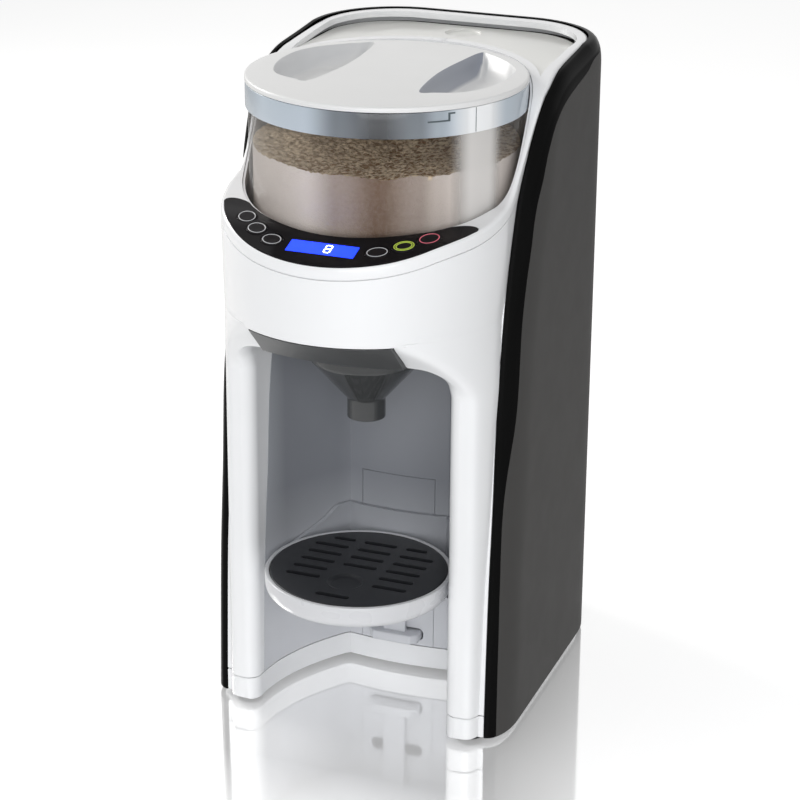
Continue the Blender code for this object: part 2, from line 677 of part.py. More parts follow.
def shell_line(z, cover=0.0):
    """Half of a shell's outline at a height, from its front edge to the middle of the rear."""
    front = edge_depth(z) + cover * steepness(z)
    line = []
    for share in SIDE_SHARES:
        y = front + share * (CORNER_CENTRE_Y - front)
        line.append((side_width(y) - shell_inset(y, z, cover), y))
    for i in range(1, CORNER_STEPS + 1):
        turn = QUARTER_TURN * i / CORNER_STEPS
        y = CORNER_CENTRE_Y + CORNER_RADIUS * math.sin(turn)
        radius = CORNER_RADIUS - shell_inset(y, z, cover)
        line.append((CORNER_CENTRE_X + radius * math.cos(turn), CORNER_CENTRE_Y + radius * math.sin(turn)))
    return line + [(GAP / 2, line[-1][1])]


def at_height(line, z):
    return [(x, y, z) for x, y in line]


def side_band(side):
    band = loft([at_height(shell_line(z) + shell_line(z, SHELL)[::-1], z) for _, z in EDGE])
    if side == "left":
        band.transform(Matrix.Diagonal((-1, 1, 1, 1)))
    return band


def white_width(z):
    """The half width that the white pieces have between the dark shells."""
    inner = side_width(edge_depth(z)) - rounding(z)[0]
    return min(inner, shell_line(z, SHELL)[0][0]) - GAP


def lip_flare(z):
    rise = (LIP_TOP - z) / (LIP_TOP - FASCIA_TOP)
    fall = (z - COVE_START) / (FASCIA_TOP - COVE_START)
    return LIP_FLARE * clamp(min(rise, fall))


def head_radius(z, angle):
    """The head's lip stands out at the front and draws in at the sides."""
    return HEAD_RADIUS + lip_flare(z) * math.cos(2 * angle)


def head_front(x, z):
    angle = math.asin(clamp(x / HEAD_RADIUS, -1, 1))
    return HEAD_CENTRE_Y - math.sqrt(head_radius(z, angle) ** 2 - x**2)


def eased_max(a, b, ease):
    return (a + b + math.hypot(a - b, ease)) / 2


def head_depth(x, y, z, cover=0.0):
    """The depth of the white front: the round head, or the flat column face and the cove above it."""
    limit = COLUMN_FRONT - max(0, z - COVE_START) + cover
    if z <= FASCIA_TOP:
        return eased_max(y, limit, COLUMN_ROUNDING)
    beside = clamp((abs(x) - FASCIA_HALF_WIDTH) / LIP_FADE)
    if z > FASCIA_TOP + LIP_EASE / 2 or not beside:
        return y
    return eased_max(y, limit, COLUMN_ROUNDING * beside)


def head_line(z, cover=0.0, tuck=TUCK):
    """Half of the white housing's outline at a height, from the middle of the front."""
    back = edge_depth(z) - GAP
    turn = min(math.acos(clamp((HEAD_CENTRE_Y - back) / (HEAD_RADIUS - cover), -1, 1)), QUARTER_TURN)
    blend = clamp((z - COVE_START) / (FASCIA_TOP - COVE_START))
    line = []
    for head, column in zip(HEAD_SHARES, COLUMN_SHARES):
        angle = turn * (column + blend * (head - column))
        radius = head_radius(z, angle) - cover
        x = radius * math.sin(angle)
        y = head_depth(x, HEAD_CENTRE_Y - radius * math.cos(angle), z, cover)
        line.append((x, min(y, back)))
    side = white_width(z) - cover
    return line + [(side, back + GAP / 2), (side, back + tuck)]


def head_block(cover=0.0, tuck=TUCK, levels=HEAD_LEVELS):
    return loft([at_height(mirrored(head_line(z, cover, tuck)), z) for z in levels])


def rear_block(cover=0.0):
    """The white rear: the space between the dark shells, behind the middle of the container."""
    centre = (CORNER_CENTRE_X, CORNER_CENTRE_Y)
    rings = []
    for z in REAR_LEVELS + (BODY_TOP + OVERRUN,):
        inset = side_width(edge_depth(z)) - white_width(min(z, BODY_TOP)) + cover
        half = [(side_width(REAR_BLOCK_FRONT) - inset, REAR_BLOCK_FRONT)]
        half += arc(centre, CORNER_RADIUS - inset, 0, QUARTER_TURN, CORNER_STEPS)
        rings.append(at_height(mirrored(half), z))
    return loft(rings)


def above_top(drop=0.0):
    """The side outline of all that is over the white top, or over a copy of it a drop lower."""
    line = [(y, z - drop) for y, z in TOP_LINE]
    return line + [(line[-1][0], BODY_TOP + OVERRUN), (line[0][0], BODY_TOP + OVERRUN)]


def below_top(drop=0.0):
    line = [(y, z - drop) for y, z in TOP_LINE]
    return line + [(line[-1][0], -OVERRUN), (line[0][0], -OVERRUN)]


def across(outline, half=HALF_WIDTH + OVERRUN):
    return side_prism(outline, -half, half)


def bay_half_width(y):
    taper = (BAY_HALF_WIDTH - BAY_BACK_HALF_WIDTH) / BAY_DEPTH**2
    return BAY_HALF_WIDTH - taper * max(y - BAY_MOUTH, 0) ** 2


def column_face(z):
    circle = head_front(BAY_HALF_WIDTH + BAY_EDGE_RADIUS, z)
    return eased_max(circle, COLUMN_FRONT - max(0, z - COVE_START), COLUMN_ROUNDING)


def bay_line(z, grow=0.0):
    """Half of the bottle bay's outline at a height, larger all round by a growth."""
    edge = BAY_HALF_WIDTH + BAY_EDGE_RADIUS
    centre = (edge, column_face(min(z, BAY_TOP)) + BAY_EDGE_RADIUS)
    line = [(edge, FRONT - OVERRUN)]
    line += arc(centre, BAY_EDGE_RADIUS - grow, -QUARTER_TURN, -2 * QUARTER_TURN, CORNER_STEPS)
    line += [(bay_half_width(BAY_MOUTH + s * BAY_DEPTH) + grow, BAY_MOUTH + GAP + s * BAY_DEPTH)
             for s in BAY_CURVE_SHARES]
    line += [(BAY_BACK_HALF_WIDTH * wide + grow, BAY_MOUTH + deep * BAY_DEPTH + grow)
             for wide, deep in BAY_CORNER_SHARES]
    line += [(BAY_BACK_HALF_WIDTH * s, BAY_BACK - BAY_BULGE * (1 - s**2) + grow) for s in BAY_REAR_SHARES]
    return line


def bay_block(grow=0.0):
    levels = [(-OVERRUN, 0), (COVE_START, 0)]
    for share in CEILING_SHARES:
        turn = QUARTER_TURN * share
        levels.append((BAY_TOP + grow - BAY_CORNER * (1 - math.sin(turn)),
                       BAY_CORNER * (1 - math.cos(turn))))
    return loft([at_height(mirrored(bay_line(z, grow - inset)), z) for z, inset in levels])


def bay_opening():
    """The opening in the bay's ceiling that the funnel hangs in and slides out through."""
    return box((-CEILING_HALF_OPENING, FRONT - OVERRUN, BAY_TOP - BAY_CORNER - STEP),
               (CEILING_HALF_OPENING, CEILING_OPENING_REAR, BAY_TOP + WALL + STEP))


def cradle_cutter(radius, bottom):
    return disc(radius, bottom, BODY_TOP + OVERRUN, (0, CONTAINER_Y), LARGE_STEPS)


def build_front_housing():
    hollow = cutter("housing_hollow", head_block(WALL, OVERRUN, (0.0, *HEAD_LEVELS[1:], BODY_TOP)))
    cut(hollow, CUTTERS["bay_skin"])
    housing = place("front_housing", head_block(), "white_plastic")
    cut(housing, hollow, CUTTERS["bay"], CUTTERS["opening"])
    notch = box((-FASCIA_HALF_WIDTH - GAP, FRONT - OVERRUN, BAY_TOP - STEP),
                (FASCIA_HALF_WIDTH + GAP, FASCIA_LOW_Y + NOTCH_DEPTH, FASCIA_TOP))
    cut(housing, cutter("fascia_notch", notch))
    cut(housing, cutter("housing_top", across(above_top(TOP_SEAM_DROP + GAP))))
    cut(housing, cutter("housing_cradle", cradle_cutter(COLLAR_RADIUS, CRADLE_BOTTOM - STEP)))


def build_bay_liner():
    liner = place("bay_liner", bay_block(WALL), "white_plastic")
    far, low = FRONT - 2 * OVERRUN, -2 * OVERRUN
    ahead = [(EDGE[0][0] + TUCK + GAP, low)] + [(y + TUCK + GAP, z) for y, z in EDGE]
    cut(liner, CUTTERS["bay"], CUTTERS["opening"])
    cut(liner, cutter("liner_front", across(ahead + [(far, BODY_TOP), (far, low)])))
    cut(liner, cutter("liner_bottom", box((-HALF_WIDTH, FRONT, low), (HALF_WIDTH, REAR, FRONT_SEAM))))
    cut(liner, cutter("liner_window", plate_region(GAP)))


def plate_region(grow=0.0):
    half = REAR_PLATE_HALF + grow
    return box((-half, BAY_BACK - OVERRUN, FRONT_SEAM - grow),
               (half, BAY_BACK + OVERRUN, REAR_PLATE_TOP + grow))


def build_rear_plate():
    """The plate in the bay's rear wall with one slot for each height of the tray."""
    plate = place("bay_rear_plate", plate_region(), "white_plastic")
    keep(plate, CUTTERS["bay_skin"])
    cut(plate, CUTTERS["bay"])
    half = TONGUE_HALF_WIDTH + SLOT_CLEARANCE
    rise = TONGUE_THICKNESS / 2 + SLOT_CLEARANCE
    for i in range(HEIGHT_SLOTS):
        z = TONGUE_Z - i * TRAY_STEP
        slot = box((-half, BAY_BACK - OVERRUN / 2, z - rise), (half, BAY_BACK + OVERRUN / 2, z + rise))
        cut(plate, cutter(f"wall_slot_{i}", slot))


def build_side_shells():
    first, last = TRIM_LINE[0], TRIM_LINE[-1]
    region = TRIM_LINE + [(last[0], -OVERRUN), (first[0], -OVERRUN)]
    grown = [(y - GAP, z + GAP) for y, z in TRIM_LINE]
    grown += [(last[0] + GAP, -2 * OVERRUN), (first[0] - GAP, -2 * OVERRUN)]
    panel_edge = REAR_COVER_HALF_WIDTH + GAP / 2
    wide = HALF_WIDTH + OVERRUN
    for side, low, high in (("right", panel_edge, wide), ("left", -wide, -panel_edge)):
        panel = place(f"{side}_side_panel", side_band(side), "grey_plastic")
        keep(panel, cutter(f"{side}_panel_region", side_prism(region, low, high)))
        trim = place(f"{side}_trim", side_band(side), "black_trim")
        cut(trim, cutter(f"{side}_trim_region", across(grown)))


def build_rear_cover():
    top = TRIM_LINE[-1][1] - GAP - REAR_COVER_DROP
    half = REAR_COVER_HALF_WIDTH - GAP / 2
    cover = place("rear_cover", box((-half, REAR - SHELL, FOOT_HEIGHT), (half, REAR, top)), "grey_plastic")
    wide, tall = INLET_HALF_WIDTH + GAP, INLET_HALF_HEIGHT + GAP
    opening = box((INLET_X - wide, REAR - OVERRUN, INLET_Z - tall),
                  (INLET_X + wide, REAR + OVERRUN, INLET_Z + tall))
    cut(cover, cutter("inlet_opening", opening))


def base_outline(inset=0.0):
    """Half outline of the base: the housing's front, then the inside of the shells."""
    front = head_line(HEAD_LEVELS[0], inset, TUCK)
    rear = [(x - GAP - inset, y) for x, y in shell_line(FOOT_HEIGHT, SHELL) if y > EDGE[0][0] + 2 * TUCK]
    last = rear[-1]
    return front + rear[:-1] + [(last[0] + GAP + inset, REAR - SHELL - GAP - inset)]


def build_base_frame():
    top = FRONT_SEAM - GAP
    frame = place("base_frame", prism(mirrored(base_outline()), FOOT_HEIGHT, top), "white_plastic")
    pan = cutter("base_pan", prism(mirrored(base_outline(WALL)), FOOT_HEIGHT + BASE_FLOOR, top + OVERRUN))
    cut(pan, cutter("base_bay_skin", bay_block(WALL + STEP)))
    cut(frame, pan, CUTTERS["bay"])


def build_top_cover():
    top = place("top_cover", head_block(levels=TOP_LEVELS), "white_plastic")
    join(top, cutter("rear_mass", rear_block()))
    cut(top, cutter("top_above", across(above_top())), cutter("top_below", across(below_top(TOP_SEAM_DROP))))
    hollow = cutter("top_hollow", head_block(WALL, levels=TOP_LEVELS))
    join(hollow, cutter("rear_hollow", rear_block(WALL)))
    keep(hollow, cutter("under_skin", across(below_top(TOP_SKIN))))
    cut(top, hollow, cutter("container_hole", cradle_cutter(COLLAR_RADIUS, CRADLE_BOTTOM)))
    opening = prism(mirrored(tank_line(-TANK_CLEARANCE)), TANK_TOP - OVERRUN, BODY_TOP + OVERRUN)
    cut(top, cutter("tank_opening", opening))
    pocket = cutter("lens_pocket", prism(mirrored(lens_line(GAP)), CONTAINER_FLOOR - OVERRUN, BODY_TOP))
    keep(pocket, cutter("pocket_floor", across(above_top(LENS_THICKNESS + GAP))))
    cut(top, pocket)
    for i in range(len(BUTTON_ANGLES)):
        cut(top, CUTTERS[f"button_{i}"])
    cut(top, cutter("display_opening", display_block(STEP)))


def tank_line(inset=0.0):
    """Half outline of the water tank: an arc behind the container, a side and a rounded rear."""
    radius = TANK_FRONT_RADIUS + inset
    side = TANK_HALF_WIDTH - inset
    rear = TANK_REAR - inset
    corner = TANK_CORNER_RADIUS - inset
    half = arc((0, CONTAINER_Y), radius, QUARTER_TURN - STEP, math.acos(side / radius), TANK_FRONT_STEPS)
    return half + arc((side - corner, rear - corner), corner, 0, QUARTER_TURN, TANK_CORNER_STEPS)


def lens_line(grow=0.0):
    """Half outline of the control panel: outside arc, rounded tip, inside arc."""
    outer = LENS_RADIUS + grow
    inner = LENS_INNER_RADIUS - grow
    turn = math.acos((LENS_CENTRE_Y - LENS_TIP_Y) / outer)
    line = [(outer * math.sin(turn * s),
             LENS_CENTRE_Y - outer * math.cos(turn * s)) for s in LENS_OUTER_SHARES]
    inner_turn = math.acos((CONTAINER_Y - LENS_TIP_Y) / inner)
    end = inner * math.sin(inner_turn)
    middle, half = (line[-1][0] + end) / 2, (line[-1][0] - end) / 2
    for share in LENS_TIP_SHARES:
        across_tip, along_tip = math.cos(math.pi * share), math.sin(math.pi * share)
        line.append((middle + half * across_tip + LENS_TIP_LEAN * along_tip,
                     LENS_TIP_Y + (LENS_TIP_RISE + grow) * along_tip))
    line += [(inner * math.sin(inner_turn * s), CONTAINER_Y - inner * math.cos(inner_turn * s))
             for s in LENS_INNER_SHARES]
    return line


def top_height(y):
    return float(np.interp(y, [point[0] for point in TOP_LINE], [point[1] for point in TOP_LINE]))


def button_place(angle):
    """The middle of a button's face, and its frame: along the panel's arc, across it, and out of it."""
    x = BUTTON_ARC_RADIUS * math.sin(angle)
    y = LENS_CENTRE_Y - BUTTON_ARC_RADIUS * math.cos(angle)
    out = Vector((0, -math.sin(BUTTON_TILT), math.cos(BUTTON_TILT)))
    along = Vector((math.cos(angle), math.sin(angle), 0))
    along = (along - out * along.dot(out)).normalized()
    return Vector((x, y, top_height(y))), along, out.cross(along), out


def button_solid(angle, rings):
    """An oval solid on a button's axis: each ring is a growth and a height over the panel."""
    middle, along, wide, out = button_place(angle)
    made = []
    for grow, rise in rings:
        made.append([middle + out * rise
                     + along * (BUTTON_HALF_LENGTH + grow) * math.cos(FULL_TURN * i / BUTTON_SIDES)
                     + wide * (BUTTON_HALF_WIDTH + grow) * math.sin(FULL_TURN * i / BUTTON_SIDES)
                     for i in range(BUTTON_SIDES)])
    return loft(made)


def display_block(inset=0.0):
    half = DISPLAY_HALF_LENGTH - inset
    return box((-half, DISPLAY_FRONT + inset, CONTAINER_FLOOR - OVERRUN),
               (half, DISPLAY_REAR - inset, BODY_TOP))


def build_panel():
    outline = mirrored(lens_line())
    lens = place("control_panel", prism(outline, CONTAINER_FLOOR - OVERRUN, BODY_TOP), "black_lens")
    below = cutter("lens_below", across(below_top(LENS_THICKNESS)))
    cut(lens, cutter("lens_above", across(above_top(DISPLAY_PROUD))), below)
    cut(lens, cutter("display_hole", display_block()))
    for i in range(len(BUTTON_ANGLES)):
        cut(lens, CUTTERS[f"button_{i}"])
    display = place("display_window", display_block(GAP), "display_blue")
    cut(display, cutter("pane_above", across(above_top(2 * DISPLAY_PROUD))), below)


def build_buttons():
    flange = TOP_SKIN + BUTTON_SLACK
    rings = [(BUTTON_FLANGE, -BUTTON_DEPTH), (BUTTON_FLANGE, -flange), (0, -flange), (0, 0),
             (-BUTTON_CROWN, BUTTON_PROUD)]
    for i, angle in enumerate(BUTTON_ANGLES):
        place(f"button_{i + 1}", button_solid(angle, rings), "button_dark", button_place(angle)[0])


def build_control_board():
    outline = [(x * BOARD_SHARE, LENS_CENTRE_Y + (y - LENS_CENTRE_Y) * BOARD_SHARE) for x,
               y in lens_line()[::2]]
    blank = prism(mirrored(outline), CONTAINER_FLOOR - 2 * OVERRUN, BODY_TOP)
    board = place("control_board", blank, "circuit_green")
    cut(board, cutter("board_above", across(above_top(BOARD_DROP))))
    cut(board, cutter("board_below", across(below_top(BOARD_DROP + BOARD_THICKNESS))))
    cut(board, cutter("board_cradle", cradle_cutter(COLLAR_RADIUS + STEP, CRADLE_BOTTOM - 2 * OVERRUN)))
    middle_drop = BOARD_DROP + BOARD_THICKNESS / 2
    for i, angle in enumerate(BUTTON_ANGLES):
        middle, along, wide, out = button_place(angle)
        high = middle - out * (BUTTON_DEPTH + BUTTON_TRAVEL + GAP)
        join(board, cutter(f"switch_{i}", tube([middle - out * middle_drop, high], SWITCH_RADIUS)))
    for side in (-1, 1):
        foot = Vector((side * POST_X, POST_Y, top_height(POST_Y) - middle_drop))
        top = foot + Vector((0, 0, middle_drop - TOP_SKIN - 3 * GAP))
        join(board, cutter(f"board_post_{side}", tube([foot, top], SWITCH_RADIUS)))


def tube(path, radius):
    """A solid of round section along a path of points."""
    points = [Vector(point) for point in path]
    rings = []
    side = None
    for i, point in enumerate(points):
        ahead = (points[min(i + 1, len(points) - 1)] - points[max(i - 1, 0)]).normalized()
        if side is None:
            side = ahead.orthogonal()
        side = (side - ahead * side.dot(ahead)).normalized()
        other = ahead.cross(side)
        turns = [FULL_TURN * k / TUBE_SIDES for k in range(TUBE_SIDES)]
        rings.append([point + radius * (side * math.cos(turn) + other * math.sin(turn)) for turn in turns])
    return loft(rings)


def build_container():
    bottom, floor = CONTAINER_FLOOR, CONTAINER_FLOOR + CONTAINER_WALL
    inner = CONTAINER_RADIUS - CONTAINER_WALL
    bore = SHAFT_RADIUS + GAP
    profile = [(bore, bottom), (inner, bottom), (CONTAINER_RADIUS, floor), (CONTAINER_RADIUS, CONTAINER_TOP),
               (inner, CONTAINER_TOP), (inner, floor + CONTAINER_WALL), (inner - CONTAINER_WALL, floor),
               (bore, floor)]
    body = place("powder_container", turned(profile, (0, CONTAINER_Y), LARGE_STEPS), "clear_plastic")
    cut(body, CUTTERS["outlet"])


def build_lid_ring():
    """The ring on the container's rim: a skirt outside the rim and a flange over it."""
    inside, outside = CONTAINER_RADIUS + GAP, LID_RADIUS - GAP
    low, high = CONTAINER_TOP + GAP, LID_TOP - LID_PLATE - GAP
    profile = [(RING_OPENING, low), (inside, low), (inside, LID_RING_BOTTOM), (outside, LID_RING_BOTTOM),
               (outside, high), (RING_OPENING, high)]
    origin = (0, CONTAINER_Y, CONTAINER_TOP)
    place("lid_ring", turned(profile, (0, CONTAINER_Y), LARGE_STEPS), "frosted_plastic", origin)


def build_cradle():
    outer, floor = COLLAR_RADIUS - GAP, CRADLE_BOTTOM + CRADLE_FLOOR
    bore = SHAFT_RADIUS + GAP
    profile = [(bore, CRADLE_BOTTOM), (outer, CRADLE_BOTTOM), (outer, BODY_TOP),
               (outer - CRADLE_WALL, BODY_TOP),
               (outer - CRADLE_WALL, floor), (bore, floor)]
    cradle = place("container_cradle", turned(profile, (0, CONTAINER_Y), LARGE_STEPS), "white_plastic")
    cut(cradle, cutter("cradle_top", across(above_top(STEP))), CUTTERS["outlet"])
    low = BAY_TOP + WALL + GAP
    for i, (side, y) in enumerate(((1, FUNNEL_Y - LEG_FRONT), (-1, FUNNEL_Y - LEG_FRONT),
                                   (1, FUNNEL_Y + LEG_REAR), (-1, FUNNEL_Y + LEG_REAR))):
        leg = disc(LEG_RADIUS, low, CRADLE_BOTTOM + STEP, (side * LEG_X, y), SMALL_STEPS)
        join(cradle, cutter(f"cradle_leg_{i}", leg))


def scoop(side, top, bottom, grow):
    """A grip hollow, narrower towards its floor."""
    points = [Vector((x * LID_RADIUS, y * LID_RADIUS)) for x, y in SCOOP_SHARES]
    middle = sum(points, Vector((0, 0))) / len(points)
    rings = []
    for z, share in ((bottom, SCOOP_FLOOR_SHARE), ((top + bottom) / 2, SCOOP_MIDDLE_SHARE), (top, 1)):
        spots = [middle + (point - middle) * share + (point - middle).normalized() * grow for point in points]
        rings.append([(side * spot.x, CONTAINER_Y + spot.y, z) for spot in spots])
    return loft(rings)


def scoop_mouth(side):
    points = [(side * x * LID_RADIUS, CONTAINER_Y + y * LID_RADIUS) for x, y in SCOOP_SHARES]
    return prism(points, LID_TOP - GAP, LID_TOP + STEP)


def build_lid():
    low = LID_TOP - LID_PLATE
    profile = [(0, low), (LID_RADIUS, low), (LID_RADIUS, LID_TOP - LID_EDGE),
               (LID_RADIUS - LID_EDGE, LID_TOP),
               (0, LID_TOP)]
    origin = (0, CONTAINER_Y, LID_TOP)
    lid = place("container_lid", turned(profile, (0, CONTAINER_Y), LARGE_STEPS), "white_plastic", origin)
    floor = LID_TOP - SCOOP_DEPTH
    for side, name in ((1, "left"), (-1, "right")):
        join(lid, cutter(f"{name}_bowl", scoop(side, low + STEP, floor - SCOOP_WALL, SCOOP_WALL)))
    for side, name in ((1, "left"), (-1, "right")):
        cut(lid, cutter(f"{name}_scoop", scoop(side, LID_TOP, floor, 0)))
        cut(lid, cutter(f"{name}_mouth", scoop_mouth(side)))


def gear(teeth, centre):
    """A spur gear with straight-sided teeth."""
    pitch = MODULE * teeth / 2
    outline = []
    for i in range(teeth):
        for share, modules in TOOTH_SHARES:
            angle = FULL_TURN * (i + share) / teeth
            radius = pitch + modules * MODULE
            outline.append((centre[0] + radius * math.cos(angle), centre[1] + radius * math.sin(angle)))
    return prism(outline, GEAR_BOTTOM, GEAR_BOTTOM + GEAR_FACE)


def build_gears():
    top = GEAR_BOTTOM + GEAR_FACE
    for name, teeth, y, shaft in (("drive_gear", GEAR_TEETH, CONTAINER_Y, SHAFT_RADIUS),
                                  ("motor_pinion", PINION_TEETH, MOTOR_Y, MOTOR_SHAFT_RADIUS)):
        made = place(name, gear(teeth, (0, y)), "nylon", (0, y, GEAR_BOTTOM))
        cut(made,
            cutter(f"{name}_bore", disc(shaft + GAP, GEAR_BOTTOM - STEP, top + STEP, (0, y), SMALL_STEPS)))


def build_wheel():
    low = CONTAINER_FLOOR + CONTAINER_WALL + GAP
    socket_top = low + WHEEL_HUB_HEIGHT * 2 / 3
    high = low + WHEEL_HUB_HEIGHT
    profile = [(SHAFT_RADIUS + GAP, low), (WHEEL_HUB_RADIUS, low), (WHEEL_HUB_RADIUS, (low + high) / 2),
               (WHEEL_HUB_RADIUS * 2 / 3, high), (0, high), (0, socket_top), (SHAFT_RADIUS + GAP,
                                                                              socket_top)]
    wheel = place("stirring_wheel", turned(profile, (0, CONTAINER_Y), SMALL_STEPS), "nylon",
                  (0, CONTAINER_Y, low))
    for i in range(WHEEL_ARMS):
        join(wheel, cutter(f"wheel_arm_{i}", wheel_arm(FULL_TURN * (i + 0.5) / WHEEL_ARMS, low)))


def wheel_arm(angle, low):
    """A flat blade from the hub outwards, lower towards its tip."""
    along = Vector((math.cos(angle), math.sin(angle), 0))
    wide = Vector((-along.y, along.x, 0)) * WHEEL_ARM_THICKNESS / 2
    axis = Vector((0, CONTAINER_Y, low))
    start, end = axis + along * WHEEL_HUB_RADIUS * 2 / 3, axis + along * WHEEL_REACH
    floor = Vector((0, 0, GAP))
    tall, short = Vector((0, 0, WHEEL_ARM_HEIGHT)), Vector((0, 0, WHEEL_ARM_TIP))
    return loft([[start - wide + floor, end - wide + floor, end + wide + floor, start + wide + floor],
                 [start - wide + tall, end - wide + short, end + wide + short, start + wide + tall]])


def build_drive_shaft():
    low = PLATE_Z + PLATE_THICKNESS + GAP
    collar_top = GEAR_BOTTOM - GAP
    top = CONTAINER_FLOOR + CONTAINER_WALL + WHEEL_HUB_HEIGHT * 2 / 3
    profile = [(0, low), (SHAFT_COLLAR_RADIUS, low), (SHAFT_COLLAR_RADIUS, collar_top),
               (SHAFT_RADIUS, collar_top),
               (SHAFT_RADIUS, top), (0, top)]
    origin = (0, CONTAINER_Y, GEAR_BOTTOM)
    place("drive_shaft", turned(profile, (0, CONTAINER_Y), SMALL_STEPS), "steel", origin)


def build_motor():
    plate_top = PLATE_Z + PLATE_THICKNESS
    plate = box((-BRACKET_HALF_WIDTH, BRACKET_FRONT, PLATE_Z), (BRACKET_HALF_WIDTH, BRACKET_REAR, plate_top))
    bracket = place("motor_bracket", plate, "steel")
    axis = (0, MOTOR_Y)
    hole = disc(MOTOR_SHAFT_RADIUS + GAP, PLATE_Z - STEP, plate_top + STEP, axis, SMALL_STEPS)
    cut(bracket, cutter("motor_shaft_hole", hole))
    x, inset = BRACKET_HALF_WIDTH - BRACKET_POST_RADIUS, BRACKET_POST_RADIUS
    for i, spot in enumerate(((x, BRACKET_FRONT + inset), (-x, BRACKET_FRONT + inset),
                              (x, BRACKET_REAR - inset), (-x, BRACKET_REAR - inset))):
        post = disc(inset, PLATE_Z + STEP / 2, CRADLE_BOTTOM - GAP, spot, TUBE_SIDES)
        join(bracket, cutter(f"bracket_post_{i}", post))
    top, low = PLATE_Z - GAP, PLATE_Z - GAP - MOTOR_LENGTH
    end = GEAR_BOTTOM + GEAR_FACE
    profile = [(0, low), (MOTOR_RADIUS - STEP, low), (MOTOR_RADIUS, low + STEP), (MOTOR_RADIUS, top),
               (MOTOR_SHAFT_RADIUS, top), (MOTOR_SHAFT_RADIUS, end), (0, end)]
    place("stirring_motor", turned(profile, axis, SMALL_STEPS), "steel")


def build_chute():
    top, outer = CRADLE_BOTTOM - GAP, CHUTE_RADIUS + CHUTE_WALL
    flange, under = outer + CHUTE_FLANGE, top - FLANGE_THICKNESS
    profile = [(CHUTE_RADIUS, CHUTE_BOTTOM), (outer, CHUTE_BOTTOM), (outer, under), (flange, under),
               (flange, top),
               (CHUTE_RADIUS, top)]
    place("powder_chute", turned(profile, (0, FUNNEL_Y), ROUND_STEPS), "nylon")


def build_funnel():
    low = DRAWER_TOP + GAP
    high = low + FUNNEL_WALL
    bowl, thick = FUNNEL_RADIUS, FUNNEL_WALL
    spout = FUNNEL_SPOUT_RADIUS
    profile = [(FUNNEL_FLANGE_RADIUS, high), (FUNNEL_FLANGE_RADIUS, low), (bowl, low),
               (bowl, FUNNEL_CONE_TOP),
               (spout + thick, FUNNEL_CONE_BOTTOM), (spout, FUNNEL_CONE_BOTTOM - thick), (spout,
                                                                                          FUNNEL_SPOUT_BOTTOM),
               (spout - thick, FUNNEL_SPOUT_BOTTOM), (spout - thick, FUNNEL_CONE_BOTTOM),
               (bowl - thick, FUNNEL_CONE_TOP + thick), (bowl - thick, high)]
    place("funnel", turned(profile, (0, FUNNEL_Y), ROUND_STEPS), "smoked_plastic", (0, FUNNEL_Y, low))
    under = high + GAP
    rim = bowl - thick - GAP
    profile = [(COVER_HOLE, under), (rim - thick, under), (rim - thick, under - COVER_RIM),
               (rim, under - COVER_RIM),
               (rim, under), (FUNNEL_FLANGE_RADIUS, under), (FUNNEL_FLANGE_RADIUS, under + thick),
               (COVER_HOLE, under + thick)]
    cover = turned(profile, (0, FUNNEL_Y), ROUND_STEPS)
    cover = place("funnel_cover", cover, "smoked_plastic", (0, FUNNEL_Y, under))
    spot = (NOZZLE_X, WATER_HOLE_Y)
    hole = disc(WATER_HOLE_RADIUS, under - OVERRUN / 2, under + OVERRUN / 2, spot, SMALL_STEPS)
    cut(cover, cutter("water_hole", hole))


def fascia_low(x):
    """The depth of the fascia's bowed lower edge."""
    return FASCIA_LOW_Y - FASCIA_BOW * (1 - (x / FASCIA_HALF_WIDTH) ** 2)


def build_drawer():
    rings = []
    top = FASCIA_TOP - GAP
    for i in range(FASCIA_SECTIONS):
        x = FASCIA_HALF_WIDTH * (2 * i / (FASCIA_SECTIONS - 1) - 1)
        low, lip = fascia_low(x), head_front(x, FASCIA_TOP)
        rings.append([(x, low, BAY_TOP), (x, lip, top), (x, lip + FASCIA_THICKNESS, top),
                      (x, low + FASCIA_THICKNESS, BAY_TOP)])
    drawer = place("funnel_drawer", loft(rings), "smoked_plastic")
    half = [(DRAWER_HALF_WIDTH * s, fascia_low(DRAWER_HALF_WIDTH * s) - FASCIA_LAP) for s in DRAWER_SHARES]
    outline = mirrored(half + [(DRAWER_HALF_WIDTH, DRAWER_REAR)])
    join(drawer, cutter("drawer_plate", prism(outline, DRAWER_LOW, DRAWER_TOP)))
    seat = disc(FUNNEL_RADIUS + GAP, DRAWER_LOW - STEP, DRAWER_TOP + STEP, (0, FUNNEL_Y), ROUND_STEPS)
    cut(drawer, cutter("funnel_seat", seat))


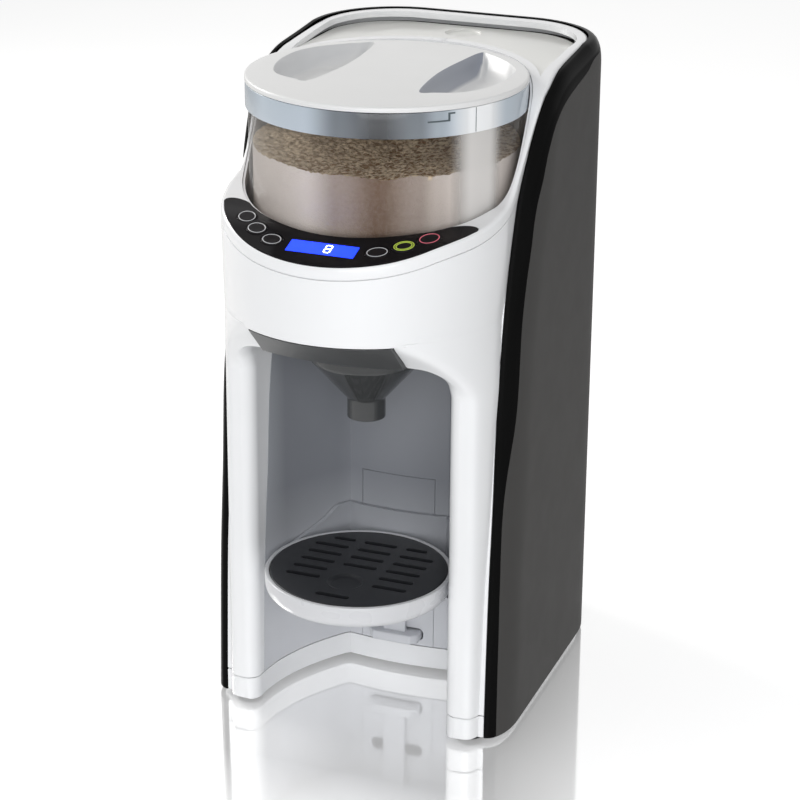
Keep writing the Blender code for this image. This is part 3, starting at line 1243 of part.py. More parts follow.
def build_tray():
    ledge = TRAY_TOP - GRATE_THICKNESS - GAP
    inner = TRAY_RADIUS - TRAY_WALL
    well, floor = inner - TRAY_LEDGE, TRAY_LOW + TRAY_FLOOR
    profile = [(0, TRAY_LOW)] + [(TRAY_RADIUS * r, TRAY_LOW + TRAY_DEPTH * rise) for r,
                                 rise in TRAY_UNDER_SHARES]
    profile += [(TRAY_RADIUS, TRAY_TOP), (inner, TRAY_TOP), (inner, ledge), (well, ledge),
                (well, floor + TRAY_FLOOR), (well - TRAY_LEDGE, floor), (0, floor)]
    place("drip_tray", turned(profile, (0, TRAY_Y), TRAY_STEPS), "white_plastic")
    disc_solid = disc(GRATE_RADIUS, ledge + GAP, TRAY_TOP, (0, TRAY_Y), TRAY_STEPS)
    grate = place("drip_grate", disc_solid, "grate_black", (0, TRAY_Y, ledge))
    radius = GRATE_RADIUS * DIMPLE_RADIUS_SHARE
    floor = TRAY_TOP - DIMPLE_DEPTH
    profile = [(0, floor), (radius * DIMPLE_FLOOR_SHARE, floor), (radius, TRAY_TOP + GAP),
               (0, TRAY_TOP + GAP)]
    dimple = turned(profile, (0, TRAY_Y + GRATE_RADIUS * DIMPLE_PLACE_SHARE), ROUND_STEPS)
    cut(grate, cutter("grate_dimple", dimple))
    for i, (start, end, y) in enumerate(grate_slots()):
        slot = box((start, y - SLOT_WIDTH / 2, TRAY_LOW), (end, y + SLOT_WIDTH / 2, TRAY_TOP + STEP))
        cut(grate, cutter(f"grate_slot_{i}", slot))


def grate_slots():
    """The start, end and depth of each slot, along X: a column at each side, and one down the middle."""
    made = []
    for share in SLOT_ROW_SHARES:
        y = TRAY_Y + GRATE_RADIUS * share
        reach = min(SLOT_END_SHARE, math.sqrt(SLOT_LIMIT_SHARE**2 - share**2))
        start, end = GRATE_RADIUS * SLOT_START_SHARE, GRATE_RADIUS * reach
        made += [(start, end, y), (-end, -start, y)]
    half = GRATE_RADIUS * MIDDLE_SLOT_SHARE
    return made + [(-half, half, TRAY_Y + GRATE_RADIUS * share) for share in MIDDLE_ROW_SHARES]


def build_tray_bracket():
    """The shelf under the tray, the curved upstand behind it, and the tongues in two wall slots."""
    bottom, top = TRAY_LOW - GAP - BRACKET_WALL, TRAY_TOP + BRACKET_RISE
    outer = mirrored(bay_line(COVE_START, -BRACKET_CLEARANCE))
    inner = mirrored(bay_line(COVE_START, -BRACKET_CLEARANCE - BRACKET_WALL))
    bracket = place("tray_bracket", prism(outer, bottom, top), "white_plastic")
    cut(bracket, cutter("bracket_inside", prism(inner, bottom + BRACKET_WALL, top + STEP)))
    ahead = box((-HALF_WIDTH, FRONT - 2 * OVERRUN, bottom - STEP), (HALF_WIDTH, BRACKET_START, top + STEP))
    cut(bracket, cutter("bracket_front", ahead))
    edge = [(BRACKET_START + BRACKET_LENGTH * s, TRAY_TOP + BRACKET_RISE * rise) for s,
            rise in BRACKET_EDGE_SHARES]
    edge += [(edge[-1][0], top + STEP), (edge[0][0], top + STEP)]
    cut(bracket, cutter("bracket_edge", across(edge)))
    start = BAY_BACK - BAY_BULGE - BRACKET_CLEARANCE - BRACKET_WALL / 2
    low = TONGUE_Z - (HEIGHT_SLOTS - 1) * TRAY_STEP
    join(bracket, cutter("upper_tongue", tongue(start, TONGUE_Z, 0)))
    join(bracket, cutter("lower_tongue", tongue(start - TONGUE_NOSE, low, TONGUE_ROUNDING)))
    stem = box((-STEM_HALF_WIDTH, start - STEM_THICKNESS, low),
               (STEM_HALF_WIDTH, start, bottom + BRACKET_WALL / 2))
    join(bracket, cutter("bracket_stem", stem))


def tongue(start, z, chamfer):
    rear = BAY_BACK + WALL + TONGUE_REACH
    half = [(TONGUE_HALF_WIDTH - chamfer, start), (TONGUE_HALF_WIDTH, start + chamfer),
            (TONGUE_HALF_WIDTH, rear)]
    if not chamfer:
        half = half[1:]
    return prism(mirrored(half), z - TONGUE_THICKNESS / 2, z + TONGUE_THICKNESS / 2)


def build_tank():
    floor = TANK_BOTTOM + TANK_WALL
    tank = place("water_tank", prism(mirrored(tank_line()), TANK_BOTTOM, TANK_TOP), "clear_plastic")
    cut(tank, cutter("tank_inside", prism(mirrored(tank_line(TANK_WALL)), floor, TANK_TOP + OVERRUN)))
    spot, stem = (VALVE_X, VALVE_Y), VALVE_RADIUS / 2
    cut(tank, cutter("tank_outlet", disc(stem + GAP, TANK_BOTTOM - STEP, floor + STEP, spot, SMALL_STEPS)))
    low, seat = TANK_BOTTOM - 2 * SHELF_THICKNESS, floor + GAP
    profile = [(0, low), (stem, low), (stem, seat), (VALVE_RADIUS, seat),
               (VALVE_RADIUS * VALVE_CROWN_SHARE, seat + VALVE_HEAD), (0, seat + VALVE_HEAD)]
    place("tank_valve", turned(profile, spot, SMALL_STEPS), "rubber")
    low, top = TANK_TOP + GAP, TANK_TOP + GAP + TANK_LID_THICKNESS
    lid = place("tank_lid", prism(mirrored(tank_line()), low, top), "frosted_plastic", (0, TANK_REAR, top))
    grip = disc(FINGER_RADIUS, (low + top) / 2, low + OVERRUN, (0, TANK_REAR - FINGER_INSET), SMALL_STEPS)
    cut(lid, cutter("finger_dip", grip))


def build_shelf():
    top = TANK_BOTTOM - GAP
    shelf = place("tank_shelf", prism(mirrored(tank_line()), top - SHELF_THICKNESS, top), "white_plastic")
    hole = disc(VALVE_RADIUS, top - OVERRUN / 2, top + STEP, (VALVE_X, VALVE_Y), SMALL_STEPS)
    cut(shelf, cutter("valve_hole", hole))
    rear_x = SHELF_LEG_X * SHELF_REAR_SHARE
    for i, spot in enumerate(((SHELF_LEG_X, SHELF_LEG_FRONT), (-SHELF_LEG_X, SHELF_LEG_FRONT),
                              (rear_x, SHELF_LEG_REAR), (-rear_x, SHELF_LEG_REAR))):
        join(shelf,
             cutter(f"shelf_leg_{i}", disc(SHELF_LEG_RADIUS, INNER_FLOOR, top - STEP, spot, SMALL_STEPS)))


def build_pump_and_heater():
    floor = INNER_FLOOR
    for name, spot, radius, tall, colour in (("water_pump", PUMP, PUMP_RADIUS, PUMP_HEIGHT, "black_trim"),
                                             ("water_heater", HEATER, HEATER_RADIUS, HEATER_HEIGHT,
                                              "steel")):
        top, neck = floor + tall, floor + tall + NECK_HEIGHT
        profile = [(0, floor), (radius, floor), (radius, top), (NECK_RADIUS, top), (NECK_RADIUS, neck),
                   (0, neck)]
        place(name, turned(profile, spot, ROUND_STEPS), colour)


def along_way(start, end, shares):
    """Points between two elbows, by their shares of the way along each axis."""
    return [Vector([a + (b - a) * s for a, b, s in zip(start, end, row)]) for row in shares]


def build_hoses():
    pump_top = INNER_FLOOR + PUMP_HEIGHT + NECK_HEIGHT + GAP
    first = Vector((VALVE_X, VALVE_Y, TANK_BOTTOM - 2 * SHELF_THICKNESS - GAP))
    last = Vector((*PUMP, pump_top))
    start, end = first - Vector((0, 0, FEED_DROP)), last + Vector((0, 0, FEED_RISE))
    place("feed_hose", tube([first, start, *along_way(start, end, FEED_SHARES), end, last], HOSE_RADIUS),
          "silicone")
    z = INNER_FLOOR + HEAT_HOSE_RISE
    near, far = PUMP[0] - PUMP_RADIUS - GAP, HEATER[0] + HEATER_RADIUS + GAP
    heat = [(near, PUMP[1], z), (near - HEAT_HOSE_LEAD, PUMP[1], z), (far + HEAT_HOSE_LEAD, HEATER[1], z),
            (far, HEATER[1], z)]
    place("heater_hose", tube(heat, HOSE_RADIUS), "silicone")
    port = NOZZLE_LOW + NOZZLE_HEIGHT - NOZZLE_PORT_DROP
    first = Vector((*HEATER, INNER_FLOOR + HEATER_HEIGHT + NECK_HEIGHT + GAP))
    start = first + Vector((0, 0, OUTLET_RISE))
    end = Vector((NOZZLE_X, NOZZLE_REAR + NOZZLE_ELBOW, port))
    path = [first, start, *along_way(start, end, OUTLET_SHARES), end,
            (NOZZLE_X, NOZZLE_REAR + NOZZLE_LEAD, port),
            (NOZZLE_X, NOZZLE_REAR + GAP, port)]
    place("outlet_hose", tube(path, OUTLET_HOSE_RADIUS), "silicone")


def build_nozzle():
    top = NOZZLE_LOW + NOZZLE_HEIGHT
    front, half = NOZZLE_REAR - NOZZLE_DEPTH, NOZZLE_HALF_WIDTH
    body = box((NOZZLE_X - half, front, NOZZLE_LOW), (NOZZLE_X + half, NOZZLE_REAR, top))
    nozzle = place("water_nozzle", body, "nylon")
    half -= STEP
    arm = box((NOZZLE_X - half, WATER_HOLE_Y - NOZZLE_HALF_WIDTH, top - NOZZLE_ARM),
              (NOZZLE_X + half, NOZZLE_REAR - STEP, top))
    spot = (NOZZLE_X, WATER_HOLE_Y)
    tip = disc(NOZZLE_TIP_RADIUS, top - NOZZLE_TIP_LOW, top - NOZZLE_ARM / 2, spot, SMALL_STEPS)
    join(nozzle, cutter("nozzle_arm", arm), cutter("nozzle_tip", tip))


def build_power_board():
    half, deck = SUPPLY_HALF_WIDTH, INNER_FLOOR + SUPPLY_RISE
    slab = box((-half, SUPPLY_FRONT, deck), (half, SUPPLY_REAR, deck + BOARD_THICKNESS))
    board = place("power_board", slab, "circuit_green")
    x, front, rear = half - SUPPLY_POST_INSET, SUPPLY_FRONT + SUPPLY_POST_INSET, SUPPLY_REAR - SUPPLY_POST_INSET
    for i, spot in enumerate(((x, front), (-x, front), (x, rear), (-x, rear))):
        post = disc(SUPPLY_POST_RADIUS, INNER_FLOOR, deck + STEP / 2, spot, TUBE_SIDES)
        join(board, cutter(f"supply_post_{i}", post))
    for i, (middle, wide, tall) in enumerate(PACK_SHARES):
        pack = box((half * (middle - wide), SUPPLY_FRONT + SUPPLY_PACK_INSET, deck + STEP / 2),
                   (half * (middle + wide), SUPPLY_REAR - SUPPLY_PACK_INSET, deck + PACK_HEIGHT * tall))
        join(board, cutter(f"supply_pack_{i}", pack))


def build_inlet():
    x, z = INLET_X, INLET_Z
    wide, tall, wall = INLET_HALF_WIDTH, INLET_HALF_HEIGHT, INLET_WALL
    deep = REAR - INLET_DEPTH
    body = place("power_inlet", box((x - wide, deep, z - tall), (x + wide, REAR - GAP, z + tall)),
                 "black_trim")
    recess = box((x - wide + wall, deep + 2 * wall, z - tall + wall),
                 (x + wide - wall, REAR + STEP, z + tall - wall))
    cut(body, cutter("inlet_recess", recess))
    thin = PIN_HALF_WIDTH
    for side in (-1, 1):
        middle = x + side * PIN_OFFSET
        pin = box((middle - thin, deep + wall, z - thin), (middle + thin, REAR - 2 * wall, z + thin))
        join(body, cutter(f"inlet_pin_{side}", pin))
    half = wide * STAND_SHARE
    join(body, cutter("inlet_stand", box((x - half, deep, INNER_FLOOR), (x + half, deep + STAND_DEPTH, z))))


def build_feet():
    top = FOOT_HEIGHT - GAP
    for name, spot in FEET.items():
        profile = [(0, 0), (FOOT_RADIUS - STEP, 0), (FOOT_RADIUS, STEP), (FOOT_RADIUS, top), (0, top)]
        place(f"foot_{name}", turned(profile, spot, SMALL_STEPS), "rubber")


def make_shared_cutters():
    """The cutters that shape more than one piece."""
    CUTTERS["bay"] = cutter("bay", bay_block())
    CUTTERS["bay_skin"] = cutter("bay_skin", bay_block(WALL))
    CUTTERS["opening"] = cutter("bay_opening", bay_opening())
    outlet = disc(CHUTE_RADIUS, CRADLE_BOTTOM - OVERRUN, CONTAINER_FLOOR + OVERRUN, (0, FUNNEL_Y),
                  SMALL_STEPS)
    CUTTERS["outlet"] = cutter("powder_outlet", outlet)
    for i, angle in enumerate(BUTTON_ANGLES):
        through = button_solid(angle, ((GAP, -2 * BUTTON_DEPTH), (GAP, BUTTON_DEPTH)))
        CUTTERS[f"button_{i}"] = cutter(f"button_{i}", through)


def main():
    clear_scene()
    make_finishes()
    make_shared_cutters()
    for build in (build_front_housing, build_bay_liner, build_rear_plate, build_side_shells,
                  build_rear_cover,
                  build_base_frame, build_top_cover, build_panel, build_buttons, build_control_board,
                  build_container, build_lid_ring, build_cradle, build_lid, build_gears, build_wheel,
                  build_drive_shaft, build_motor, build_chute, build_funnel, build_drawer, build_tray,
                  build_tray_bracket, build_tank, build_shelf, build_pump_and_heater, build_hoses, build_nozzle,
                  build_power_board, build_inlet, build_feet):
        build()


if __name__ == "__main__":
    main()
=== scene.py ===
import json
import math

import bmesh
import bpy
import numpy as np
from bpy.props import FloatProperty, FloatVectorProperty, IntProperty, PointerProperty
from mathutils import Matrix, Vector

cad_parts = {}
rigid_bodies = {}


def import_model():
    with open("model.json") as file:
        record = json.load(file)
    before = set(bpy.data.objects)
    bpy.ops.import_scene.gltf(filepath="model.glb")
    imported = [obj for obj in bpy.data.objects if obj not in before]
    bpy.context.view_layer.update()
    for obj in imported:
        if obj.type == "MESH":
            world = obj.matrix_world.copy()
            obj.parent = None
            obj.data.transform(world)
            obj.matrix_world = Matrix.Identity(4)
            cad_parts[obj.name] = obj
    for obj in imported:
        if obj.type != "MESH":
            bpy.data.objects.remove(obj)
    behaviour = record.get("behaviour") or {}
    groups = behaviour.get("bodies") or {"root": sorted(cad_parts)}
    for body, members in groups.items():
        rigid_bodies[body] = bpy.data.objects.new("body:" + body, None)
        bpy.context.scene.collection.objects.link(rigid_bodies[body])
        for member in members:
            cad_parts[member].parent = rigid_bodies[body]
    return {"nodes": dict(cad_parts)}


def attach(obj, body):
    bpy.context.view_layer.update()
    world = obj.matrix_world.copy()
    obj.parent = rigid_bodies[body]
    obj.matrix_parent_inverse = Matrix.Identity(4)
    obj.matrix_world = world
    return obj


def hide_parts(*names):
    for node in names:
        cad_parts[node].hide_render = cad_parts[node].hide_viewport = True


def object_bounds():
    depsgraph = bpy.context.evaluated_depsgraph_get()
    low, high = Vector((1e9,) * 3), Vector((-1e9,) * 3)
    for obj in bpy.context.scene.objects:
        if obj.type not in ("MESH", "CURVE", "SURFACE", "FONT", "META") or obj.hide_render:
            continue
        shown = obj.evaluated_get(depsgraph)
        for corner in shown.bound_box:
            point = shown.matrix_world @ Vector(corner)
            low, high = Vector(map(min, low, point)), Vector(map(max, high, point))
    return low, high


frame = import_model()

bl_info = {
    "name": "Formula maker",
    "version": (1, 0, 0),
    "blender": (4, 5, 0),
    "location": "View3D > Sidebar > Formula maker",
    "description": "Dresses the packed formula maker: housing, shells, container, panel, funnel and tray",
    "category": "Object",
}

CAD_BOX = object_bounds()
TAU = 2 * math.pi
QUARTER = math.pi / 2

# Sizes shared by the fitted pieces, in metres
FRONT = -0.1359
REAR = 0.1357
FOOT = 0.0038
TOP = 0.386
GAP = 0.0003
FAR = 0.03
SIDE = 0.13
OVERRUN = 0.001
WALL = 0.0024
SHELL = 0.0022
HALF_WIDTH = 0.0946
TAPER = 0.0032
EDGE_WIDTH = 0.012
EDGE_WIDTH_LOSS = 0.006
EDGE_LENGTH = 0.0286
EDGE_LENGTH_LOSS = 0.0146
EDGE_TIGHTENS = 0.318
EDGE_RUN = 0.062
SIDE_EASE = 2.2
CORNER = 0.0571
CORNER_Y = REAR - CORNER
CORNER_X = HALF_WIDTH - TAPER - CORNER
HEAD_Y = -0.0514
HEAD_RADIUS = 0.0829
LIP_FLARE = 0.0016
LIP_Z = 0.2571
LIP_TOP = 0.300
LIP_BAND = 0.0015
LIP_BLEND = 0.008
COLUMN_FRONT = -0.0829
COVE_START = 0.2163
COVE_BEND = 1.36
COLUMN_ROUNDING = 0.006
SEAM_Z = 0.0182
FASCIA_HALF = 0.0422
FASCIA_LOW_Y = -0.1045
FASCIA_BOW = 0.0065
NOTCH = 0.0054
BAY_HALF = 0.0598
BAY_BACK_HALF = 0.0325
BAY_MOUTH = -0.0745
BAY_BACK = -0.0010
BAY_BULGE = 0.0026
BAY_TOP = 0.2381
BAY_CORNER = 0.014
BAY_EDGE = 0.0078
BAY_SIDE_SHARE = 0.965
BAY_TURN_SHARES = (0.98, 0.998)
BAY_REAR_SHARES = (0.86, 0.7, 0.5, 0.3, 0.1)
OPENING_HALF = 0.037
OPENING_REAR = -0.016
CONTAINER_Y = -0.0248
CRADLE_RADIUS = 0.0819
FUNNEL_Y = -0.0545
SEAM_DROP = 0.0075
TUCK = 0.0033

# Points of the lines between the white, the trim and the panels, as shares of the depth and height
EDGE_SHARES = (
    (0, 0.2250), (0.229, 0.2389), (0.389, 0.2581), (0.498, 0.2677), (0.566, 0.2806),
    (0.625, 0.2938), (0.675, 0.3078), (0.718, 0.3229), (0.772, 0.3490), (0.822, 0.3756),
    (0.855, 0.3910), (0.8875, 0.4120), (0.919, 0.4360), (0.942, 0.4591), (0.959, 0.4827),
    (0.970, 0.5144), (0.980, 0.5460), (0.988, 0.5917), (0.995, 0.7000), (1, 0.7703),
)
TRIM_SHARES = (
    (0.2408, -0.02), (0.2522, 0.228), (0.2710, 0.388), (0.3108, 0.537), (0.3306, 0.641),
    (0.3535, 0.707), (0.3778, 0.754), (0.3991, 0.796), (0.4356, 0.851), (0.4628, 0.890),
    (0.5055, 0.926), (0.5700, 0.947), (0.6429, 0.957), (0.7220, 0.966), (0.7802, 0.978),
    (1.10, 0.988),
)
TOP_SHARES = (
    (-0.2, 0.720), (0, 0.779), (0.0453, 0.7883), (0.0836, 0.797), (0.1086, 0.803),
    (0.1403, 0.808), (0.1867, 0.813), (0.2382, 0.820), (0.2842, 0.828), (0.3126, 0.8325),
    (0.3347, 0.840), (0.3501, 0.848), (0.3660, 0.860), (0.3980, 0.892), (0.4275, 0.924),
    (0.4562, 0.9475), (0.4827, 0.9618), (0.5144, 0.972), (0.5460, 0.9805), (0.5917, 0.988),
    (0.6598, 0.9925), (0.77, 0.997), (1.2, 1.0),
)


def tall(share):
    return FOOT + share * (TOP - FOOT)


def deep(share):
    return FRONT + share * (REAR - FRONT)


class Curve:
    """A smooth line through points that never turns back between them."""

    def __init__(self, xs, ys):
        self.x, self.y = np.array(xs, float), np.array(ys, float)
        run, rise = np.diff(self.x), np.diff(self.y)
        slope = rise / run
        self.slope = np.empty(len(xs))
        self.slope[0], self.slope[-1] = slope[0], slope[-1]
        for i in range(1, len(xs) - 1):
            a, b = slope[i - 1], slope[i]
            wa, wb = 2 * run[i] + run[i - 1], run[i] + 2 * run[i - 1]
            self.slope[i] = (wa + wb) / (wa / a + wb / b) if a * b > 0 else 0

    def __call__(self, x):
        x = min(max(x, self.x[0]), self.x[-1])
        i = min(int(np.searchsorted(self.x, x, "right")) - 1, len(self.x) - 2)
        run = self.x[i + 1] - self.x[i]
        t = (x - self.x[i]) / run
        a, b = self.y[i], self.y[i + 1]
        u, v = self.slope[i] * run, self.slope[i + 1] * run
        return float(a + t * (u + t * (3 * (b - a) - 2 * u - v + t * (2 * (a - b) + u + v))))


edge_depth = Curve([tall(z) for z, _ in EDGE_SHARES], [deep(y) for _, y in EDGE_SHARES])
top_height = Curve([deep(y) for y, _ in TOP_SHARES], [tall(z) for _, z in TOP_SHARES])
trim_height = Curve([deep(y) for y, _ in TRIM_SHARES], [tall(z) for _, z in TRIM_SHARES])


def edge_levels(count):
    """Heights spaced evenly along the line where the white housing meets the dark shells."""
    z = np.linspace(FOOT, TOP, 1500)
    y = np.array([edge_depth(v) for v in z])
    along = np.concatenate([[0], np.cumsum(np.hypot(np.diff(z), np.diff(y)))])
    return [float(v) for v in np.interp(np.linspace(0, along[-1], count), along, z)]


LEVELS = edge_levels(96)
LINE = np.array([(edge_depth(z), z) for z in LEVELS] + [(REAR + FAR, TOP)])


def clamp(value, low=0.0, high=1.0):
    return min(max(value, low), high)


def edge_distance(y, z):
    """How far a point of a shell's side lies from the shell's front edge."""
    start, end = LINE[:-1], LINE[1:]
    along = end - start
    share = np.clip((((y, z) - start) * along).sum(1) / (along**2).sum(1), 0, 1)
    return float(np.linalg.norm(start + along * share[:, None] - (y, z), axis=1).min())


def steepness(z):
    """How upright the shells' front edge runs at a height: 1 where it stands straight up."""
    low, high = max(z - 0.001, FOOT), min(z + 0.001, TOP)
    return (high - low) / math.hypot(edge_depth(high) - edge_depth(low), high - low)


def rounding(z):
    """How wide and how long the shells' rounded front edge is at a height: tighter towards the top."""
    share = clamp((z - EDGE_TIGHTENS) / EDGE_RUN)
    return EDGE_WIDTH - EDGE_WIDTH_LOSS * share, EDGE_LENGTH - EDGE_LENGTH_LOSS * share


def quarter(distance, width, length):
    """How far an elliptical rounding stands in from the face at a distance from its edge."""
    return width * (1 - math.sqrt(1 - clamp(1 - distance / length) ** 2))


def side_width(y):
    low = deep(EDGE_SHARES[0][1])
    return HALF_WIDTH - TAPER * clamp((y - low) / (CORNER_Y - low))


def shell_inset(y, z, cover):
    """How far a shell's face, or its inside under a cover, stands in from the widest line."""
    width, length = rounding(z)
    distance = edge_distance(y, z)
    face = quarter(distance, width, length)
    if not cover:
        return face
    under = cover + quarter(max(distance - cover, 0), width - cover, length - cover)
    steep = steepness(z)
    return steep * under + (1 - steep) * (face + cover)


def shell_line(z, cover=0.0, side=30, corner=14):
    """Half of a shell's outline at a height, from its front edge to the middle of the rear."""
    front = edge_depth(z) + cover * steepness(z)
    line = []
    for i in range(side + 1):
        y = front + (i / side) ** SIDE_EASE * (CORNER_Y - front)
        line.append((side_width(y) - shell_inset(y, z, cover), y))
    for i in range(1, corner + 1):
        turn = QUARTER * i / corner
        y = CORNER_Y + CORNER * math.sin(turn)
        radius = CORNER - shell_inset(y, z, cover)
        line.append((CORNER_X + radius * math.cos(turn), CORNER_Y + radius * math.sin(turn)))
    return line + [(GAP / 2, line[-1][1])]


def white_width(z):
    """Half of the housing's width where it meets the shells."""
    return min(side_width(edge_depth(z)) - rounding(z)[0], shell_line(z, SHELL, 4, 1)[0][0]) - GAP


def head_radius(z, angle):
    """The head's lip stands out at the front and draws in at the sides."""
    rise = (LIP_TOP - z) / (LIP_TOP - LIP_Z)
    fall = (z - COVE_START) / (LIP_Z - COVE_START)
    return HEAD_RADIUS + LIP_FLARE * clamp(min(rise, fall)) * math.cos(2 * angle)


def head_front(x, z):
    angle = math.asin(clamp(x / HEAD_RADIUS, -1, 1))
    return HEAD_Y - math.sqrt(head_radius(z, angle) ** 2 - x**2)


def eased_max(a, b, ease):
    """The larger value, with a smooth change from one to the other."""
    return (a + b + math.hypot(a - b, ease)) / 2


def cove_face(z):
    """The depth of the concave sweep that leads from the columns up to the lip."""
    rise = LIP_Z - COVE_START
    return COLUMN_FRONT - rise * clamp((z - COVE_START) / rise) ** COVE_BEND


def head_depth(x, y, z, cover):
    """The depth of the head's outline, held back by the cove everywhere but over the drawer's front."""
    limit = cove_face(z) + cover
    if z <= LIP_Z:
        return eased_max(y, limit, COLUMN_ROUNDING)
    beside = clamp((abs(x) - FASCIA_HALF) / LIP_BLEND)
    if z > LIP_Z + LIP_BAND or not beside:
        return y
    return eased_max(y, limit, COLUMN_ROUNDING * beside)


HEAD_STEPS = 44
HEAD_EASE = 1.7


def head_line(z, cover=0.0, tuck=TUCK):
    """Half of the white housing's outline at a height, from the middle of the front."""
    back = edge_depth(z) - GAP
    turn = min(math.acos(clamp((HEAD_Y - back) / (HEAD_RADIUS - cover), -1, 1)), QUARTER)
    blend = clamp((z - COVE_START) / (LIP_Z - COVE_START))
    line = []
    for i in range(HEAD_STEPS):
        even = (i + 0.5) / (HEAD_STEPS - 0.5)
        near = 1 - (1 - even) ** HEAD_EASE
        angle = turn * (near + blend * (even - near))
        radius = head_radius(z, angle) - cover
        x = radius * math.sin(angle)
        line.append((x, min(head_depth(x, HEAD_Y - radius * math.cos(angle), z, cover), back)))
    side = white_width(z) - cover
    return line + [(side, back + GAP / 2), (side, back + tuck)]


def bay_half(y):
    """Half of the bay's width at a depth: its sides draw in towards the rear."""
    taper = (BAY_HALF - BAY_BACK_HALF) / (BAY_BACK - BAY_MOUTH) ** 2
    return BAY_HALF - taper * max(y - BAY_MOUTH, 0) ** 2


def column_face(z):
    """The depth of the columns' front beside the bay's mouth."""
    circle = head_front(BAY_HALF + BAY_EDGE, z)
    return eased_max(circle, cove_face(z), COLUMN_ROUNDING)


def arc(centre, radius, start, end, steps):
    turns = [start + (end - start) * i / steps for i in range(steps + 1)]
    return [(centre[0] + radius * math.cos(turn), centre[1] + radius * math.sin(turn)) for turn in turns]


def bay_line(z, grow=0.0):
    """Half of the bottle bay's outline at a height, larger all round by a growth."""
    face = column_face(min(z, BAY_TOP))
    edge = BAY_HALF + BAY_EDGE
    line = [(edge, FRONT - FAR)] + arc((edge, face + BAY_EDGE), BAY_EDGE - grow, -QUARTER, -2 * QUARTER, 10)
    run = BAY_BACK - BAY_MOUTH
    for share in (BAY_SIDE_SHARE * i / 15 for i in range(16)):
        line.append((bay_half(BAY_MOUTH + share * run) + grow, BAY_MOUTH + GAP + share * run))
    wide, back = BAY_TURN_SHARES
    line.append((BAY_BACK_HALF * wide + grow, BAY_MOUTH + back * run + grow))
    return line + [(BAY_BACK_HALF * share, BAY_BACK - BAY_BULGE * (1 - share**2) + grow)
                   for share in BAY_REAR_SHARES]


def mirrored(half):
    return half + [(-x, y) for x, y in reversed(half)]


def at_height(line, z):
    return [(x, y, z) for x, y in line]


# Shapes made with mesh operators

def sweep(rings):
    """Extrudes the first outline through the others, and closes both ends."""
    bm = bmesh.new()
    verts = [bm.verts.new(point) for point in rings[0]]
    edges = [bm.edges.new((verts[i - 1], verts[i])) for i in range(1, len(verts))]
    edges.append(bm.edges.new((verts[-1], verts[0])))
    bmesh.ops.contextual_create(bm, geom=edges)
    for ring in rings[1:]:
        made = bmesh.ops.extrude_edge_only(bm, edges=edges)["geom"]
        fresh = {item for item in made if isinstance(item, bmesh.types.BMVert)}
        verts = [next(e.other_vert(v) for e in v.link_edges if e.other_vert(v) in fresh) for v in verts]
        for vert, point in zip(verts, ring):
            vert.co = point
        edges = [bm.edges.get((verts[i], verts[(i + 1) % len(verts)])) for i in range(len(verts))]
    bmesh.ops.contextual_create(bm, geom=edges)
    return bm


def prism(outline, low, high):
    return sweep([at_height(outline, low), at_height(outline, high)])


def side_prism(outline, low, high):
    return sweep([[(x, y, z) for y, z in outline] for x in (low, high)])


def spun(profile, centre=(0, 0), steps=128):
    """Spins a profile of radius and height round an upright axis."""
    bm = bmesh.new()
    x, y = centre
    verts = [bm.verts.new((x + radius, y, z)) for radius, z in profile]
    edges = [bm.edges.new(pair) for pair in zip(verts, verts[1:])]
    if profile[0][0] or profile[-1][0]:
        edges.append(bm.edges.new((verts[-1], verts[0])))
    bmesh.ops.spin(bm, geom=edges, cent=(x, y, 0), axis=(0, 0, 1), angle=TAU, steps=steps, use_merge=True)
    bmesh.ops.remove_doubles(bm, verts=bm.verts, dist=1e-6)
    return bm


def rod(radius, low, high, centre, steps):
    return spun([(0, low), (radius, low), (radius, high), (0, high)], centre, steps)


def rounded(profile, radii, steps=5):
    """The profile with corners, each by its number, turned into arcs."""
    made = []
    least = min(x for x, y in profile)
    for i, point in enumerate(profile):
        if i not in radii:
            made.append(point)
            continue
        here = Vector(point)
        before = Vector(profile[i - 1]) - here
        after = Vector(profile[(i + 1) % len(profile)]) - here
        reach = min(radii[i], before.length * 0.49, after.length * 0.49)
        a, b = here + before.normalized() * reach, here + after.normalized() * reach
        for t in (k / steps for k in range(steps + 1)):
            spot = a * (1 - t) ** 2 + here * 2 * t * (1 - t) + b * t**2
            made.append((max(spot.x, least), spot.y))
    return made


def cube(low, high):
    bm = bmesh.new()
    bmesh.ops.create_cube(bm, size=1)
    bmesh.ops.scale(bm, vec=Vector(high) - Vector(low), verts=bm.verts)
    bmesh.ops.translate(bm, vec=(Vector(high) + Vector(low)) / 2, verts=bm.verts)
    return bm


def block(half, depths, heights):
    """A box that reaches as far to the left as to the right."""
    return cube((-half, depths[0], heights[0]), (half, depths[1], heights[1]))


def round_corners(bm, axis, radius, segments):
    """Bevels a box's edges that run along an axis."""
    along = [e for e in bm.edges if abs(e.verts[0].co[axis] - e.verts[1].co[axis]) > OVERRUN]
    bmesh.ops.bevel(bm, geom=along, offset=radius, offset_type="OFFSET", segments=segments, profile=0.5,
                    affect="EDGES", material=-1)
    return bm


def soften(bm, width, segments=3, angle=35):
    """Bevels every edge that turns by more than the angle."""
    bm.normal_update()
    sharp = [e for e in bm.edges if len(e.link_faces) == 2 and e.calc_face_angle(0) > math.radians(angle)]
    bmesh.ops.bevel(bm, geom=sharp, offset=width, offset_type="OFFSET", segments=segments, profile=0.5,
                    affect="EDGES", clamp_overlap=True, material=-1)
    return bm


def mirror_x(bm):
    bmesh.ops.scale(bm, vec=(-1, 1, 1), verts=bm.verts)
    bmesh.ops.reverse_faces(bm, faces=bm.faces)
    return bm


